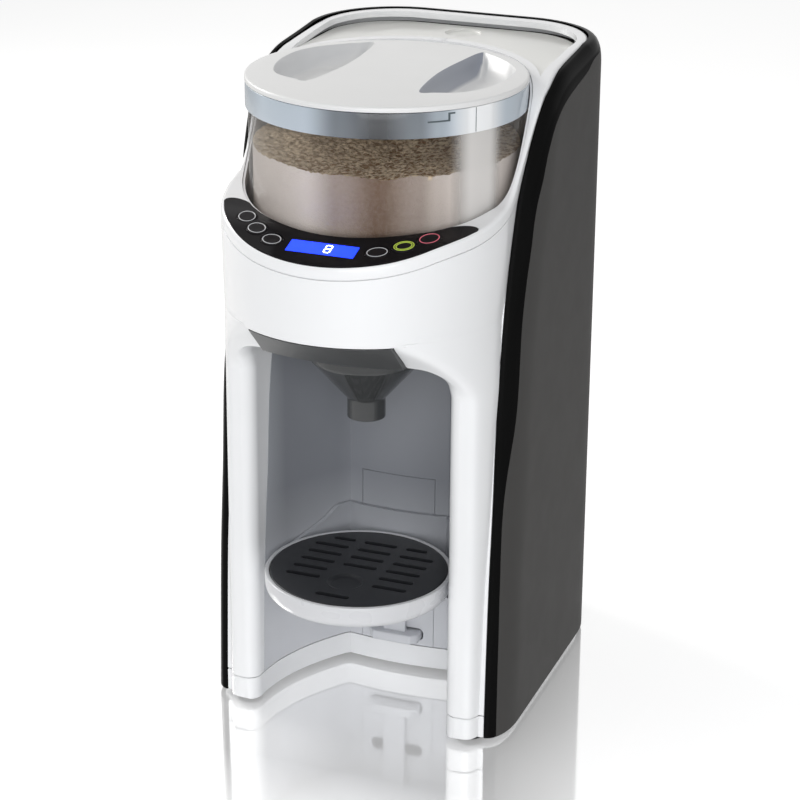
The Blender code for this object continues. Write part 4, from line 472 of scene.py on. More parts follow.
def keep_mesh(name, bm):
    bmesh.ops.recalc_face_normals(bm, faces=bm.faces)
    mesh = bpy.data.meshes.new(name)
    bm.to_mesh(mesh)
    bm.free()
    obj = bpy.data.objects.new(name, mesh)
    bpy.context.scene.collection.objects.link(obj)
    return obj


def carve(obj, *steps):
    """Applies Boolean steps, each an operation and a bmesh or object, and leaves no cutter behind."""
    others = []
    for operation, bm in steps:
        other = keep_mesh("cutter", bm) if isinstance(bm, bmesh.types.BMesh) else bm
        modifier = obj.modifiers.new("carve", "BOOLEAN")
        modifier.operation, modifier.solver, modifier.object = operation, "EXACT", other
        others.append(other)
    graph = bpy.context.evaluated_depsgraph_get()
    mesh = bpy.data.meshes.new_from_object(obj.evaluated_get(graph))
    old = obj.data
    obj.modifiers.clear()
    obj.data = mesh
    bpy.data.meshes.remove(old)
    for other in others:
        bpy.data.objects.remove(other, do_unlink=True)
    mesh.name = obj.name
    return obj


def less(*cutters):
    """Boolean steps that cut each of the shapes away."""
    return [("DIFFERENCE", cutter) for cutter in cutters]


def piece(name, bm, finish, body, node=None, steps=(), angle=32):
    """Makes a piece, with its finish, the body it rides on and the CAD node it stands in for."""
    obj = keep_mesh(name, bm)
    if steps:
        carve(obj, *steps)
    obj.data.materials.clear()
    obj.data.materials.append(FINISHES[finish])
    obj.data.shade_smooth()
    obj.data.set_sharp_from_angle(angle=math.radians(angle))
    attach(obj, body)
    if node:
        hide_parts(node)
    return obj


def skin(node, bm, finish, body, steps=(), angle=32):
    return piece(node + "_skin", bm, finish, body, node, steps, angle)


def across(outline):
    return side_prism(outline, -SIDE, SIDE)


PAST_ENDS = (-0.18, 1.18)
TOP_DEPTHS = [float(y) for y in np.linspace(deep(PAST_ENDS[0]), deep(PAST_ENDS[1]), 220)]


def above_top(drop=0.0):
    """The space over the sloped top, from a drop under it, as seen from the side."""
    line = [(y, top_height(y) - drop) for y in TOP_DEPTHS]
    return line + [(TOP_DEPTHS[-1], TOP + FAR), (TOP_DEPTHS[0], TOP + FAR)]


def bay_block(grow=0.0, rounding_steps=9):
    """The bay's solid, with its rounded upper edge, larger all round by a growth."""
    levels = [(-FAR, 0.0), (COVE_START, 0.0)]
    top = BAY_TOP + grow
    for i in range(rounding_steps + 1):
        turn = QUARTER * i / rounding_steps
        levels.append((top - BAY_CORNER * (1 - math.sin(turn)), BAY_CORNER * (1 - math.cos(turn))))
    return sweep([at_height(mirrored(bay_line(z, grow - inset)), z) for z, inset in levels])


def bay_opening():
    """The hole in the bay's ceiling that the funnel hangs in."""
    ends = BAY_TOP - BAY_CORNER - OVERRUN, BAY_TOP + WALL + OVERRUN
    return block(OPENING_HALF, (FRONT - FAR, OPENING_REAR), ends)


# Looks

FINISHES = {}
WHITE_GLOSS = (0.30, 0.33)


def shade(colour, factor=1.0):
    return tuple(clamp(c * factor) for c in colour[:3]) + (1.0,)


def about(value, share=0.03):
    return value * (1 - share), value * (1 + share)


class Tree:
    """A short way to lay out the nodes of one material."""

    def __init__(self, name):
        self.material = bpy.data.materials.new(name)
        self.material.use_nodes = True
        self.nodes = self.material.node_tree.nodes
        self.nodes.clear()
        self.coords = self.add("ShaderNodeTexCoord").outputs["Object"]

    def add(self, kind, inputs=None, **settings):
        node = self.nodes.new(kind)
        for key, value in settings.items():
            setattr(node, key, value)
        for key, value in (inputs or {}).items():
            if isinstance(value, bpy.types.NodeSocket):
                self.material.node_tree.links.new(value, node.inputs[key])
            else:
                node.inputs[key].default_value = value
        return node

    def noise(self, scale, detail=2.0):
        inputs = {"Vector": self.coords, "Scale": scale, "Detail": detail}
        return self.add("ShaderNodeTexNoise", inputs).outputs[0]

    def span(self, value, low, high, start=0.35, end=0.65):
        return self.add("ShaderNodeMapRange", {0: value, 1: start, 2: end, 3: low, 4: high}).outputs[0]

    def ramp(self, value, stops):
        """A smooth curve through pairs of position and level."""
        node = self.add("ShaderNodeValToRGB", {0: value})
        node.color_ramp.interpolation = "EASE"
        elements = node.color_ramp.elements
        for i, (spot, level) in enumerate(stops):
            element = elements[i] if i < 2 else elements.new(spot)
            element.position, element.color = spot, (level, level, level, 1)
        return node.outputs[0]

    def axes(self, vector):
        return self.add("ShaderNodeSeparateXYZ", {0: vector}).outputs

    def facing(self):
        return self.axes(self.add("ShaderNodeNewGeometry").outputs["Normal"])

    def math(self, operation, a, b):
        return self.add("ShaderNodeMath", {0: a, 1: b}, operation=operation).outputs[0]

    def vector(self, operation, a, b=(0, 0, 0), output=0):
        return self.add("ShaderNodeVectorMath", {0: a, 1: b}, operation=operation).outputs[output]

    def across_container(self):
        """0 at the container's left edge and 1 at its right, as seen from the front corner."""
        along = self.vector("DOT_PRODUCT", self.coords, LEFT_TO_RIGHT, 1)
        return self.math("ADD", along, LEFT_START)

    def mix(self, factor, a, b):
        return self.add("ShaderNodeMix", {0: factor, 6: a, 7: b}, data_type="RGBA").outputs[2]

    def mottled(self, colour, vary, scale=22.0, detail=3.0):
        tone = self.span(self.noise(scale, detail), 0.0, 1.0)
        return self.mix(tone, shade(colour, 1 - vary), shade(colour, 1 + vary))

    def bump(self, value, distance, strength=1.0):
        inputs = {"Height": value, "Distance": distance, "Strength": strength}
        return self.add("ShaderNodeBump", inputs).outputs[0]

    def plastic(self, base, gloss, patch=60.0, grain=700.0, depth=0.000003, **more):
        """A shader whose gloss changes a little between patches, over fine grain."""
        inputs = {"Base Color": base, "Roughness": self.span(self.noise(patch), *gloss),
                  "Normal": self.bump(self.noise(grain, 1.0), depth)}
        return self.add("ShaderNodeBsdfPrincipled", inputs | more)

    def blend(self, weight, first, second):
        return self.add("ShaderNodeMixShader", {0: weight, 1: first.outputs[0], 2: second.outputs[0]})

    def end(self, shader):
        self.add("ShaderNodeOutputMaterial", {"Surface": shader.outputs[0]})
        return self.material


LEFT_TO_RIGHT = (6.165, 2.395, 0)
LEFT_START = 0.5594
# Painted shade: how far the tone darkens at each share across the container, deepest where it faces the front.
PAINTED_SHADE_BAND = ((0.0, 0.25), (0.06, 0.0), (0.20, 0.0), (0.33, 0.72), (0.475, 1.0), (0.62, 0.68), (0.69, 0.3),
             (0.76, 0.0))
# Painted highlight: how far a pale band covers each share across the container, on its right side.
PAINTED_HIGHLIGHT_BAND = ((0.0, 0.0), (0.71, 0.0), (0.81, 1.0), (0.87, 1.0), (0.94, 0.0))


def solid_finish(name, colour, rough, grain=700.0, depth=0.000003, coat=0.0, metal=0.0, vary=0.02, **more):
    """A plastic, rubber or metal finish with fine grain and slight changes of tone and gloss."""
    tree = Tree(name)
    more = {"Metallic": metal, "Coat Weight": coat, "Coat Roughness": 0.06} | more
    base = tree.mottled(colour, vary)
    FINISHES[name] = tree.end(tree.plastic(base, about(rough), grain=grain, depth=depth, **more))


def bay_finish(name, look):
    """Satin white that the bay's own shade darkens towards its ceiling and its rear wall."""
    mouth, ceiling = (-0.080, -0.045), (0.045, 0.13)
    tree = Tree(name)
    _, y, z = tree.axes(tree.coords)
    base = tree.mix(tree.span(y, 0.0, 1.0, *mouth), shade(look.bay_mouth), shade(look.bay_high))
    base = tree.mix(tree.span(z, 0.0, 1.0, *ceiling), shade(look.bay_low), base)
    base = tree.mix(tree.span(tree.noise(22.0, 3.0), 0.0, 0.01), base, shade(look.bay_low))
    FINISHES[name] = tree.end(tree.plastic(base, WHITE_GLOSS))


def lid_finish(name, look):
    """The lid's white, with the deep shade of the hollow walls that face away from the light."""
    aside, right, rim = (0.12, 0.55), (-0.01, 0.02), (0.0745, 0.0765)
    tree = Tree(name)
    flat = tree.vector("MULTIPLY", tree.coords, (1, 1, 0))
    out = tree.vector("DISTANCE", flat, (0, CONTAINER_Y, 0), 1)
    shadow = tree.span(tree.facing()[0], 0.0, 1.0, *aside)
    shadow = tree.math("MULTIPLY", shadow, tree.span(tree.axes(tree.coords)[0], 0.3, 1.0, *right))
    shadow = tree.math("MULTIPLY", shadow, tree.span(out, 1.0, 0.0, *rim))
    base = tree.mix(shadow, tree.mottled(look.lid, 0.005), shade(look.lid_shade))
    FINISHES[name] = tree.end(tree.plastic(base, WHITE_GLOSS, **{"Coat Weight": 0.1}))


def clear_finish(name, colour, rough, face, edge, coat=0.3, left=None, painted_shade=None, painted_highlight=None, glare=0.0):
    """A see-through plastic, denser towards its edges, with the tones that its surroundings give it."""
    left_end = (-0.042, -0.004)
    tree = Tree(name)
    body = tree.mottled(colour, 0.02, 18.0, 2.0)
    facing = tree.add("ShaderNodeLayerWeight", {"Blend": 0.45}).outputs["Facing"]
    weight = tree.span(facing, face, edge, 0.0, 1.0)
    # Painted light: a paler tone on the left end of the part.
    if left:
        body = tree.mix(tree.span(tree.axes(tree.coords)[0], 1.0, 0.0, *left_end), body, shade(left))
    # Painted shade in a band where the container faces the front.
    if painted_shade:
        body = tree.mix(tree.ramp(tree.across_container(), PAINTED_SHADE_BAND), body, shade(painted_shade))
    # Painted highlight in a band on the container's right side, which also makes the plastic denser there.
    if painted_highlight:
        shine = tree.ramp(tree.across_container(), PAINTED_HIGHLIGHT_BAND)
        body = tree.mix(shine, body, shade(painted_highlight))
        weight = tree.math("MAXIMUM", weight, tree.math("MULTIPLY", shine, glare))
    more = {"Coat Weight": coat, "Coat Roughness": 0.03}
    shader = tree.plastic(body, about(rough), 50.0, 300.0, 0.000002, **more)
    through = tree.add("ShaderNodeBsdfTransparent", {"Color": (1, 1, 1, 1)})
    FINISHES[name] = tree.end(tree.blend(weight, through, shader))


def powder_finish(name, look):
    """Granular powder: pale below, darker where it faces the front, browner and lumpy on its top."""
    level, left = (0.15, 0.5), (-0.07, 0.01)
    tree = Tree(name)
    grains = tree.span(tree.noise(330.0, 4.0), 0.0, 1.0, 0.40, 0.58)
    lean = tree.span(tree.axes(tree.coords)[0], 0.75, 0.0, *left)
    crown = tree.mix(lean, shade(look.powder_top), shade(look.powder_grain, 0.8))
    crown = tree.mix(grains, crown, shade(look.powder_grain))
    # Painted shade: the powder's wall darkened in the band where the container faces the front.
    front = tree.ramp(tree.across_container(), PAINTED_SHADE_BAND)
    wall = tree.mix(front, shade(look.powder), shade(look.powder_core))
    wall = tree.mix(tree.span(tree.noise(500.0), 0.0, 0.05), wall, shade(look.powder, 1.1))
    base = tree.mix(tree.span(tree.facing()[2], 0.0, 1.0, *level), wall, crown)
    FINISHES[name] = tree.end(tree.add("ShaderNodeBsdfPrincipled", {
        "Base Color": base, "Roughness": 0.92, "Normal": tree.bump(tree.noise(900.0, 4.0), 0.0006, 0.9)}))


def make_finishes(shape, look):
    solid_finish("white", look.white, 0.26, coat=0.25, vary=0.004)
    bay_finish("bay_white", look)
    lid_finish("lid_white", look)
    # The tray's colour is the housing's white darkened as painted shade.
    solid_finish("tray_shaded_white", look.tray, 0.28, coat=0.25, vary=0.004)
    solid_finish("grey", look.grey, 0.5, grain=1800.0, depth=0.000004, vary=0.006, IOR=1.16)
    solid_finish("trim", look.trim, 0.14, vary=0.05, IOR=1.06)
    solid_finish("lens", look.lens, 0.12, vary=0.05, IOR=1.14)
    solid_finish("button", shade(look.lens, 1.5), 0.16, vary=0.05, IOR=1.14)
    solid_finish("grate", look.grate, 0.38, grain=1400.0, depth=0.000006, vary=0.04)
    solid_finish("rubber", (0.02, 0.02, 0.02), 0.8, grain=1200.0, depth=0.00005, vary=0.1)
    solid_finish("steel", (0.56, 0.56, 0.57), 0.3, metal=1.0, vary=0.04)
    solid_finish("circuit", (0.02, 0.16, 0.06), 0.5, vary=0.12)
    solid_finish("nylon", (0.75, 0.74, 0.70), 0.5, vary=0.03)
    solid_finish("silicone", (0.70, 0.72, 0.74), 0.6, vary=0.03)
    solid_finish("mark", (0.07, 0.09, 0.10), 0.4, vary=0.05)
    solid_finish("tank_lid", look.deck, 0.3, coat=0.2, vary=0.008)
    for name, colour, glow in (("display", look.display, 1.6), ("digit", (0.9, 0.95, 1.0), 2.2),
                               ("ring_plain", look.ring_plain, 0.1), ("ring_five", look.ring_five, 0.25),
                               ("ring_six", look.ring_six, 0.25)):
        more = {"Emission Color": shade(colour), "Emission Strength": glow}
        solid_finish(name, colour, 0.25, vary=0.03, **more)
    clear_finish("smoked", look.smoked, 0.12, 0.86, 1.0)
    # The drawer front's left end is made paler as painted light.
    clear_finish("smoked_face", look.smoked, 0.42, 0.93, 1.0, coat=0.0, left=look.smoked_left)
    clear_finish("clear", (0.55, 0.57, 0.58), 0.05, 0.03, 0.40)
    # The container's wall takes a painted highlight band on its right.
    clear_finish("container_clear", (0.26, 0.24, 0.22), 0.05, 0.01, 0.36, painted_highlight=(0.90, 0.88, 0.86),
                 glare=0.6)
    # The ring takes painted shade at its front and a painted highlight at its right.
    clear_finish("frosted", look.frosted_left, 0.22, 0.86, 0.98, painted_shade=look.frosted, painted_highlight=look.frosted_right,
                 glare=1.0)
    powder_finish("powder", look)


# Pieces

def head_rings(levels, cover=0.0, tuck=TUCK):
    return [at_height(mirrored(head_line(z, cover, tuck)), z) for z in levels]


def spaced(low, high, count):
    return [low + (high - low) * i / (count - 1) for i in range(count)]


def head_levels():
    """Heights of the head's outlines, close together where the lip turns."""
    levels = spaced(SEAM_Z, COVE_START - 0.001, 36) + spaced(COVE_START, LIP_Z - 0.0002, 22)
    return levels + [LIP_Z + rise for rise in (0, 0.0003, 0.0006, 0.001, 0.002)] + spaced(0.262, 0.344, 26)


def cradle_space(bottom):
    return rod(CRADLE_RADIUS, bottom, TOP + FAR, (0, CONTAINER_Y), 128)


def build_housing(shape, look):
    inner = keep_mesh("hollow", sweep(head_rings([0.0] + head_levels()[1:-1] + [TOP], WALL, FAR)))
    carve(inner, *less(bay_block(WALL)))
    notch = block(FASCIA_HALF + GAP, (FRONT - FAR, FASCIA_LOW_Y + NOTCH), (BAY_TOP - OVERRUN, LIP_Z))
    cuts = less(across(above_top(SEAM_DROP + GAP)), cradle_space(CRADLE_FLOOR - OVERRUN), inner, notch,
                bay_block(), bay_opening())
    skin("front_housing", sweep(head_rings(head_levels())), "white", "housing", cuts)
    build_liner()
    build_rear_plate()


def build_liner():
    behind_edge, away = 0.0036, -0.06
    front = [(edge_depth(z) + behind_edge, z) for z in LEVELS]
    ahead = [(front[0][0], away)] + front + [(FRONT + away, TOP), (FRONT + away, away)]
    cuts = less(bay_block(), bay_opening(), across(ahead), block(0.1, (FRONT, REAR), (away, SEAM_Z)),
                plate_region(GAP))
    skin("bay_liner", bay_block(WALL), "bay_white", "housing", cuts)


PLATE_SHARE = 0.717
PLATE_TOP = 0.130
TONGUE_HALF = BAY_BACK_HALF * 0.49
TONGUE_HEIGHTS = (0.0865, 0.0560, 0.0255)
SLOT_ROOM = 0.0012
SLOT_RISE = 0.0042
SLOT_ROUNDING = 0.0036


def plate_region(grow=0.0):
    ends = SEAM_Z - grow, PLATE_TOP + grow
    return block(BAY_BACK_HALF * PLATE_SHARE + grow, (BAY_BACK - FAR, BAY_BACK + FAR), ends)


def build_rear_plate():
    """The bay's rear wall, with a long slot for the tray's tongue at each height."""
    through = BAY_BACK - FAR / 2, BAY_BACK + FAR / 2
    slots = [block(TONGUE_HALF + SLOT_ROOM, through, (z - SLOT_RISE, z + SLOT_RISE)) for z in TONGUE_HEIGHTS]
    steps = [("INTERSECT", bay_block(WALL))] + less(bay_block())
    steps += less(*[round_corners(slot, 1, SLOT_ROUNDING, 8) for slot in slots])
    skin("bay_rear_plate", plate_region(), "bay_white", "housing", steps)


def base_line(inset=0.0):
    """Half of the base's outline, under the head's at the front and inside the shells' at the rear."""
    front = head_line(SEAM_Z, inset, TUCK)
    rear = [(x - GAP - inset, y) for x, y in shell_line(FOOT, SHELL) if y > edge_depth(FOOT) + 2 * TUCK]
    return front + rear[:-1] + [(rear[-1][0] + GAP + inset, REAR - SHELL - GAP - inset)]


def build_base(shape, look):
    top, edge, floor = SEAM_Z - 2.2 * GAP, 0.0012, 0.0025
    levels = [(FOOT + edge * (1 - math.sin(a)), edge * (1 - math.cos(a))) for a in spaced(QUARTER, 0, 6)]
    levels += [(top - 0.0006, 0.0), (top, 0.0004)]
    pan = keep_mesh("pan", prism(mirrored(base_line(WALL)), FOOT + floor, top + FAR))
    carve(pan, *less(bay_block(WALL + OVERRUN)))
    rings = [at_height(mirrored(base_line(inset)), z) for z, inset in levels]
    skin("base_frame", sweep(rings), "white", "housing", less(pan, bay_block()))


def band():
    """The right-hand shell from its front edge to the middle of the rear."""
    return sweep([at_height(shell_line(z) + shell_line(z, SHELL)[::-1], z) for z in LEVELS])


COVER_HALF = 0.0343
VENTS = 7
VENT_LOW = 0.150
VENT_STEP = 0.007
INLET = (-0.012, 0.029)
INLET_HALF = (0.0143, 0.0103)


def build_shells(shape, look):
    line = [(y, trim_height(y)) for y in spaced(deep(TRIM_SHARES[0][0]), deep(TRIM_SHARES[-1][0]), 150)]
    (start, _), (end, top) = line[0], line[-1]
    region = line + [(end, -FAR), (start, -FAR)]
    grown = [(y - GAP, z + GAP) for y, z in line] + [(end + GAP, -2 * FAR), (start - GAP, -2 * FAR)]
    edge = COVER_HALF + GAP / 2
    for side, turn, low, high in (("right", lambda bm: bm, edge, SIDE), ("left", mirror_x, -SIDE, -edge)):
        panel = [("INTERSECT", side_prism(region, low, high))]
        piece(f"{side}_panel_skin", turn(band()), "grey", "housing", f"{side}_side_panel", panel)
        skin(f"{side}_trim", turn(band()), "trim", "housing", less(across(grown)))
    build_rear_cover(top - GAP - 0.0012)


def build_rear_cover(top):
    (x, z), (half, rise) = INLET, INLET_HALF
    cuts = [cube((x - half, REAR - FAR, z - rise), (x + half, REAR + FAR, z + rise))]
    for low in (VENT_LOW + i * VENT_STEP for i in range(VENTS)):
        cuts.append(soften(block(0.02, (REAR - 0.0009, REAR + 0.01), (low, low + 0.0025)), 0.0004, 2))
    cover = soften(block(COVER_HALF - GAP / 2, (REAR - SHELL, REAR), (FOOT, top)), 0.0003, 2)
    skin("rear_cover", cover, "grey", "housing", less(*cuts))


TOP_EDGE = 0.0024
TOP_SKIN = 0.0036
TOP_SPINE = (-0.045, 0.07)
TOP_INSETS = (0.06, 0.2, 0.4, 0.55, 0.66, 0.75, 0.82, 0.88, 0.93, 0.97)


def top_half_line(cover, drop):
    """Half of the white top's outline under the top by a drop, from the middle of the front."""
    line = []
    radius = HEAD_RADIUS - cover
    for i in range(60):
        angle = QUARTER * (i + 0.5) / 60
        line.append((radius * math.sin(angle), HEAD_Y - radius * math.cos(angle)))
    for i in range(1, 41):
        y = HEAD_Y + (CORNER_Y - HEAD_Y) * i / 40
        z = min(top_height(y) - drop, TOP)
        wide = side_width(y) - (side_width(edge_depth(z)) - white_width(z)) - cover
        blend = clamp((y - HEAD_Y) / 0.02)
        blend = blend * blend * (3 - 2 * blend)
        line.append((radius + (max(wide, radius) - radius) * blend, y))
    corner = line[-1][0] - CORNER_X
    for i in range(1, 17):
        turn = QUARTER * i / 16.3
        line.append((CORNER_X + corner * math.cos(turn), CORNER_Y + corner * math.sin(turn)))
    return line


def top_ring(cover, drop):
    return [(x, y, min(top_height(y), TOP) - drop) for x, y in mirrored(top_half_line(cover, drop))]


def shrunk(ring, share, drop):
    """The ring drawn in towards the spine, laid on the top surface."""
    made = []
    for x, y, _ in ring:
        spine = clamp(y, *TOP_SPINE)
        near = spine + (y - spine) * share
        made.append((x * share, near, min(top_height(near), TOP) - drop))
    return made


def build_top(shape, look):
    outer, inner = top_ring(TOP_EDGE, 0.0), top_ring(WALL, TOP_SKIN)
    rings = [shrunk(inner, share, TOP_SKIN) for share in TOP_INSETS] + [inner, top_ring(WALL, SEAM_DROP)]
    rings += [top_ring(GAP, SEAM_DROP), top_ring(0.0, SEAM_DROP - 0.0005), top_ring(0.0, 0.0045)]
    for turn in spaced(0, QUARTER, 7):
        rings.append(top_ring(TOP_EDGE * (1 - math.cos(turn)), TOP_EDGE * (1 - math.sin(turn))))
    rings += [shrunk(outer, share, 0.0) for share in reversed(TOP_INSETS)]
    pocket = keep_mesh("pocket", prism(mirrored(lens_line(GAP)), PANEL_LOW, TOP))
    carve(pocket, ("INTERSECT", across(above_top(PANEL_THICK + GAP))))
    cuts = less(cradle_space(CRADLE_FLOOR), prism(mirrored(tank_line(-0.001)), 0.3465, TOP + FAR), pocket,
                *button_holes(), block(0.019, (-0.1226, -0.1142), (PANEL_LOW + OVERRUN, TOP)))
    skin("top_cover", sweep(rings), "white", "housing", cuts, 30)


TANK_ARC = 0.088
TANK_HALF = 0.0765
TANK_REAR = 0.1174
TANK_CORNER = 0.0421
TANK_LID_LOW = 0.3768
TANK_DIP = (0, 0.100)


def tank_line(inset=0.0, steps=22):
    """Half of the water tank's outline: the arc behind the container, a side and a rounded rear."""
    radius, side, rear, corner = TANK_ARC + inset, TANK_HALF - inset, TANK_REAR - inset, TANK_CORNER - inset
    half = arc((0, CONTAINER_Y), radius, QUARTER - 0.001, math.acos(side / radius), steps)
    return half + arc((side - corner, rear - corner), corner, 0, QUARTER, steps)


PANEL_Y = -0.0533
PANEL_OUTER = 0.080
PANEL_INNER = 0.082
PANEL_TIP = -0.0835
PANEL_LOW = 0.27
PANEL_THICK = 0.0014
PANEL_PROUD = 0.0002
WINDOW_HALF = 0.020
WINDOW = (-0.1236, -0.1132)
BUTTON_ARC = 0.0696
BUTTON_HALVES = (0.0066, 0.0056)
BUTTON_TILT = math.radians(14)
BUTTON_ANGLES = tuple(math.radians(a) for a in (-50.7, -38.4, -26.3, 26.3, 38.4, 50.7))
CAP_LEVELS = ((0.0005, -0.0056), (0.0005, -0.0046), (0, -0.0046), (0, 0), (-0.0002, 0.0003),
              (-0.0007, 0.0005), (-0.003, 0.0005), (-0.0045, 0.0004))
RING_INSET = -0.0011
RING_PROUD = 0.00052


def lens_line(grow=0.0):
    """Half of the control panel's outline: outside arc, rounded tip, inside arc."""
    outer, inner = PANEL_OUTER + grow, PANEL_INNER - grow
    turn = math.acos((PANEL_Y - PANEL_TIP) / outer)
    line = [(outer * math.sin(turn * s), PANEL_Y - outer * math.cos(turn * s)) for s in spaced(0.01, 1, 48)]
    inner_turn = math.acos((CONTAINER_Y - PANEL_TIP) / inner)
    end = inner * math.sin(inner_turn)
    middle, half = (line[-1][0] + end) / 2, (line[-1][0] - end) / 2
    line += [(middle + half * math.cos(math.pi * s) + 0.0048 * math.sin(math.pi * s),
              PANEL_TIP + (0.0065 + grow) * math.sin(math.pi * s)) for s in spaced(0.08, 0.92, 12)]
    return line + [(inner * math.sin(inner_turn * s), CONTAINER_Y - inner * math.cos(inner_turn * s))
                   for s in spaced(1, 0.012, 44)]


def button_place(angle):
    """The middle of a button's face, and its frame: along the panel's arc, across it, and out of it."""
    x, y = BUTTON_ARC * math.sin(angle), PANEL_Y - BUTTON_ARC * math.cos(angle)
    out = Vector((0, -math.sin(BUTTON_TILT), math.cos(BUTTON_TILT)))
    along = Vector((math.cos(angle), math.sin(angle), 0))
    along = (along - out * along.dot(out)).normalized()
    return Vector((x, y, top_height(y))), along, out.cross(along), out


def button_solid(angle, rings, sides=56):
    """An oval button's solid: each ring is a growth and a height over the panel."""
    middle, along, wide, out = button_place(angle)
    long, short = BUTTON_HALVES
    turns = [TAU * i / sides for i in range(sides)]
    return sweep([[middle + out * rise + along * (long + grow) * math.cos(turn)
                   + wide * (short + grow) * math.sin(turn) for turn in turns] for grow, rise in rings])


def button_holes():
    return [button_solid(angle, ((GAP, -0.0112), (GAP, 0.0056))) for angle in BUTTON_ANGLES]


def oval_ring(angle, grow, rise, thick):
    """A thin raised ring that follows a button's edge."""
    bm = bmesh.new()
    made = bmesh.ops.create_circle(bm, segments=10, radius=thick)
    bmesh.ops.rotate(bm, verts=made["verts"], matrix=Matrix.Rotation(QUARTER, 3, "X"))
    bmesh.ops.translate(bm, verts=made["verts"], vec=(1, 0, 0))
    bmesh.ops.spin(bm, geom=bm.edges[:], axis=(0, 0, 1), angle=TAU, steps=64, use_merge=True)
    middle, along, wide, out = button_place(angle)
    long, short = BUTTON_HALVES
    for vert in bm.verts:
        reach = math.hypot(vert.co.x, vert.co.y)
        x, y, away = vert.co.x / reach, vert.co.y / reach, reach - 1
        vert.co = (middle + out * (rise + vert.co.z * 0.5) + along * x * (long + grow + away)
                   + wide * y * (short + grow + away))
    return bm


SEGMENTS = {
    "0": "abcdef", "1": "bc", "2": "abged", "3": "abgcd", "4": "fgbc", "5": "afgcd", "6": "afgedc",
    "7": "abc", "8": "abcdefg", "9": "abcdfg",
}
SEGMENT_PLACES = {
    "a": (0, 0.5), "g": (0, 0), "d": (0, -0.5), "f": (-0.5, 0.25), "b": (0.5, 0.25), "e": (-0.5, -0.25),
    "c": (0.5, -0.25),
}
DIGIT_MIDDLE = (0.0035, -0.1184)
DIGIT_SIZE = 0.0062


def digit_bars(number, middle, size):
    """The bars of a seven-segment number as boxes lying on the panel."""
    wide, high, thick = size * 0.55, size, size * 0.12
    made = bmesh.new()
    text = str(number)
    for k, char in enumerate(text):
        shift = (k - (len(text) - 1) / 2) * wide * 1.6
        for key in SEGMENTS[char]:
            x, y = SEGMENT_PLACES[key]
            dims = (thick, high * 0.42) if x else (wide * 0.8, thick)
            at = Vector((middle[0] + shift + x * wide, middle[1] + y * high))
            verts = bmesh.ops.create_cube(made, size=1)["verts"]
            bmesh.ops.scale(made, verts=verts, vec=(dims[0], dims[1], 0.00012))
            slope = (top_height(at.y + 0.002) - top_height(at.y - 0.002)) / 0.004
            bmesh.ops.rotate(made, verts=verts, matrix=Matrix.Rotation(math.atan(slope), 3, "X"))
            bmesh.ops.translate(made, verts=verts, vec=(at.x, at.y, top_height(at.y) + 0.00045))
    return made


def panel_steps(proud, *holes):
    """Cuts a panel to its thickness first and trims its top last."""
    return [("INTERSECT", across(above_top(PANEL_THICK)))] + less(*holes, across(above_top(-proud)))


def build_panel(shape, look):
    window, pane = (block(WINDOW_HALF - inset, (WINDOW[0] + inset, WINDOW[1] - inset), (PANEL_LOW, TOP))
                    for inset in (0, GAP))
    lens = prism(mirrored(lens_line()), PANEL_LOW, TOP)
    skin("control_panel", lens, "lens", "housing", panel_steps(PANEL_PROUD, window, *button_holes()))
    skin("display_window", pane, "display", "housing", panel_steps(GAP))
    piece("display_number", digit_bars(shape.display_number, DIGIT_MIDDLE, DIGIT_SIZE), "digit", "housing")
    thick = shape.ring_thickness / 2
    for i, (angle, finish) in enumerate(zip(BUTTON_ANGLES, ["ring_plain"] * 4 + ["ring_five", "ring_six"])):
        name = f"button_{i + 1}"
        piece(name + "_cap", button_solid(angle, CAP_LEVELS), "button", name, name)
        piece(name + "_ring", oval_ring(angle, RING_INSET, RING_PROUD, thick), finish, name)
    inner = oval_ring(BUTTON_ANGLES[4], 2 * RING_INSET, RING_PROUD, thick)
    piece("button_5_inner_ring", inner, "ring_five", "button_5")


LID_RADIUS = 0.080
LID_TOP = 0.3833
LID_LOW = LID_TOP - 0.0032
LID_FLOOR = LID_TOP - 0.011
LID_WALL = 0.0016
SCOOP_SHARES = (
    (-0.421, -0.447), (-0.520, -0.420), (-0.650, -0.361), (-0.735, -0.275), (-0.800, -0.120), (-0.832, 0.050),
    (-0.838, 0.220), (-0.815, 0.380), (-0.730, 0.540), (-0.600, 0.680), (-0.500, 0.760), (-0.413, 0.800),
    (-0.372, 0.500), (-0.352, 0.150), (-0.372, -0.200),
)


def smooth_loop(points, per=5):
    """A closed curve through points, tight at each of them."""
    made = []
    count = len(points)
    for i in range(count):
        a, b, c, d = (Vector(points[(i + k) % count]) for k in (-1, 0, 1, 2))
        for t in (k / per for k in range(per)):
            bend = (2 * a - 5 * b + 4 * c - d) * t**2 + (3 * b - a - 3 * c + d) * t**3
            made.append((2 * b + (c - a) * t + bend) / 2)
    return made


def scoop(side, levels):
    """A grip hollow's solid: each level is a height, a share of the outline and a growth."""
    points = smooth_loop([(x * LID_RADIUS, y * LID_RADIUS) for x, y in SCOOP_SHARES])
    middle = sum(points, Vector((0, 0))) / len(points)
    rings = []
    for z, share, grow in levels:
        spots = [middle + (point - middle) * share + (point - middle).normalized() * grow for point in points]
        rings.append([(side * spot.x, CONTAINER_Y + spot.y, z) for spot in spots])
    return sweep(rings)


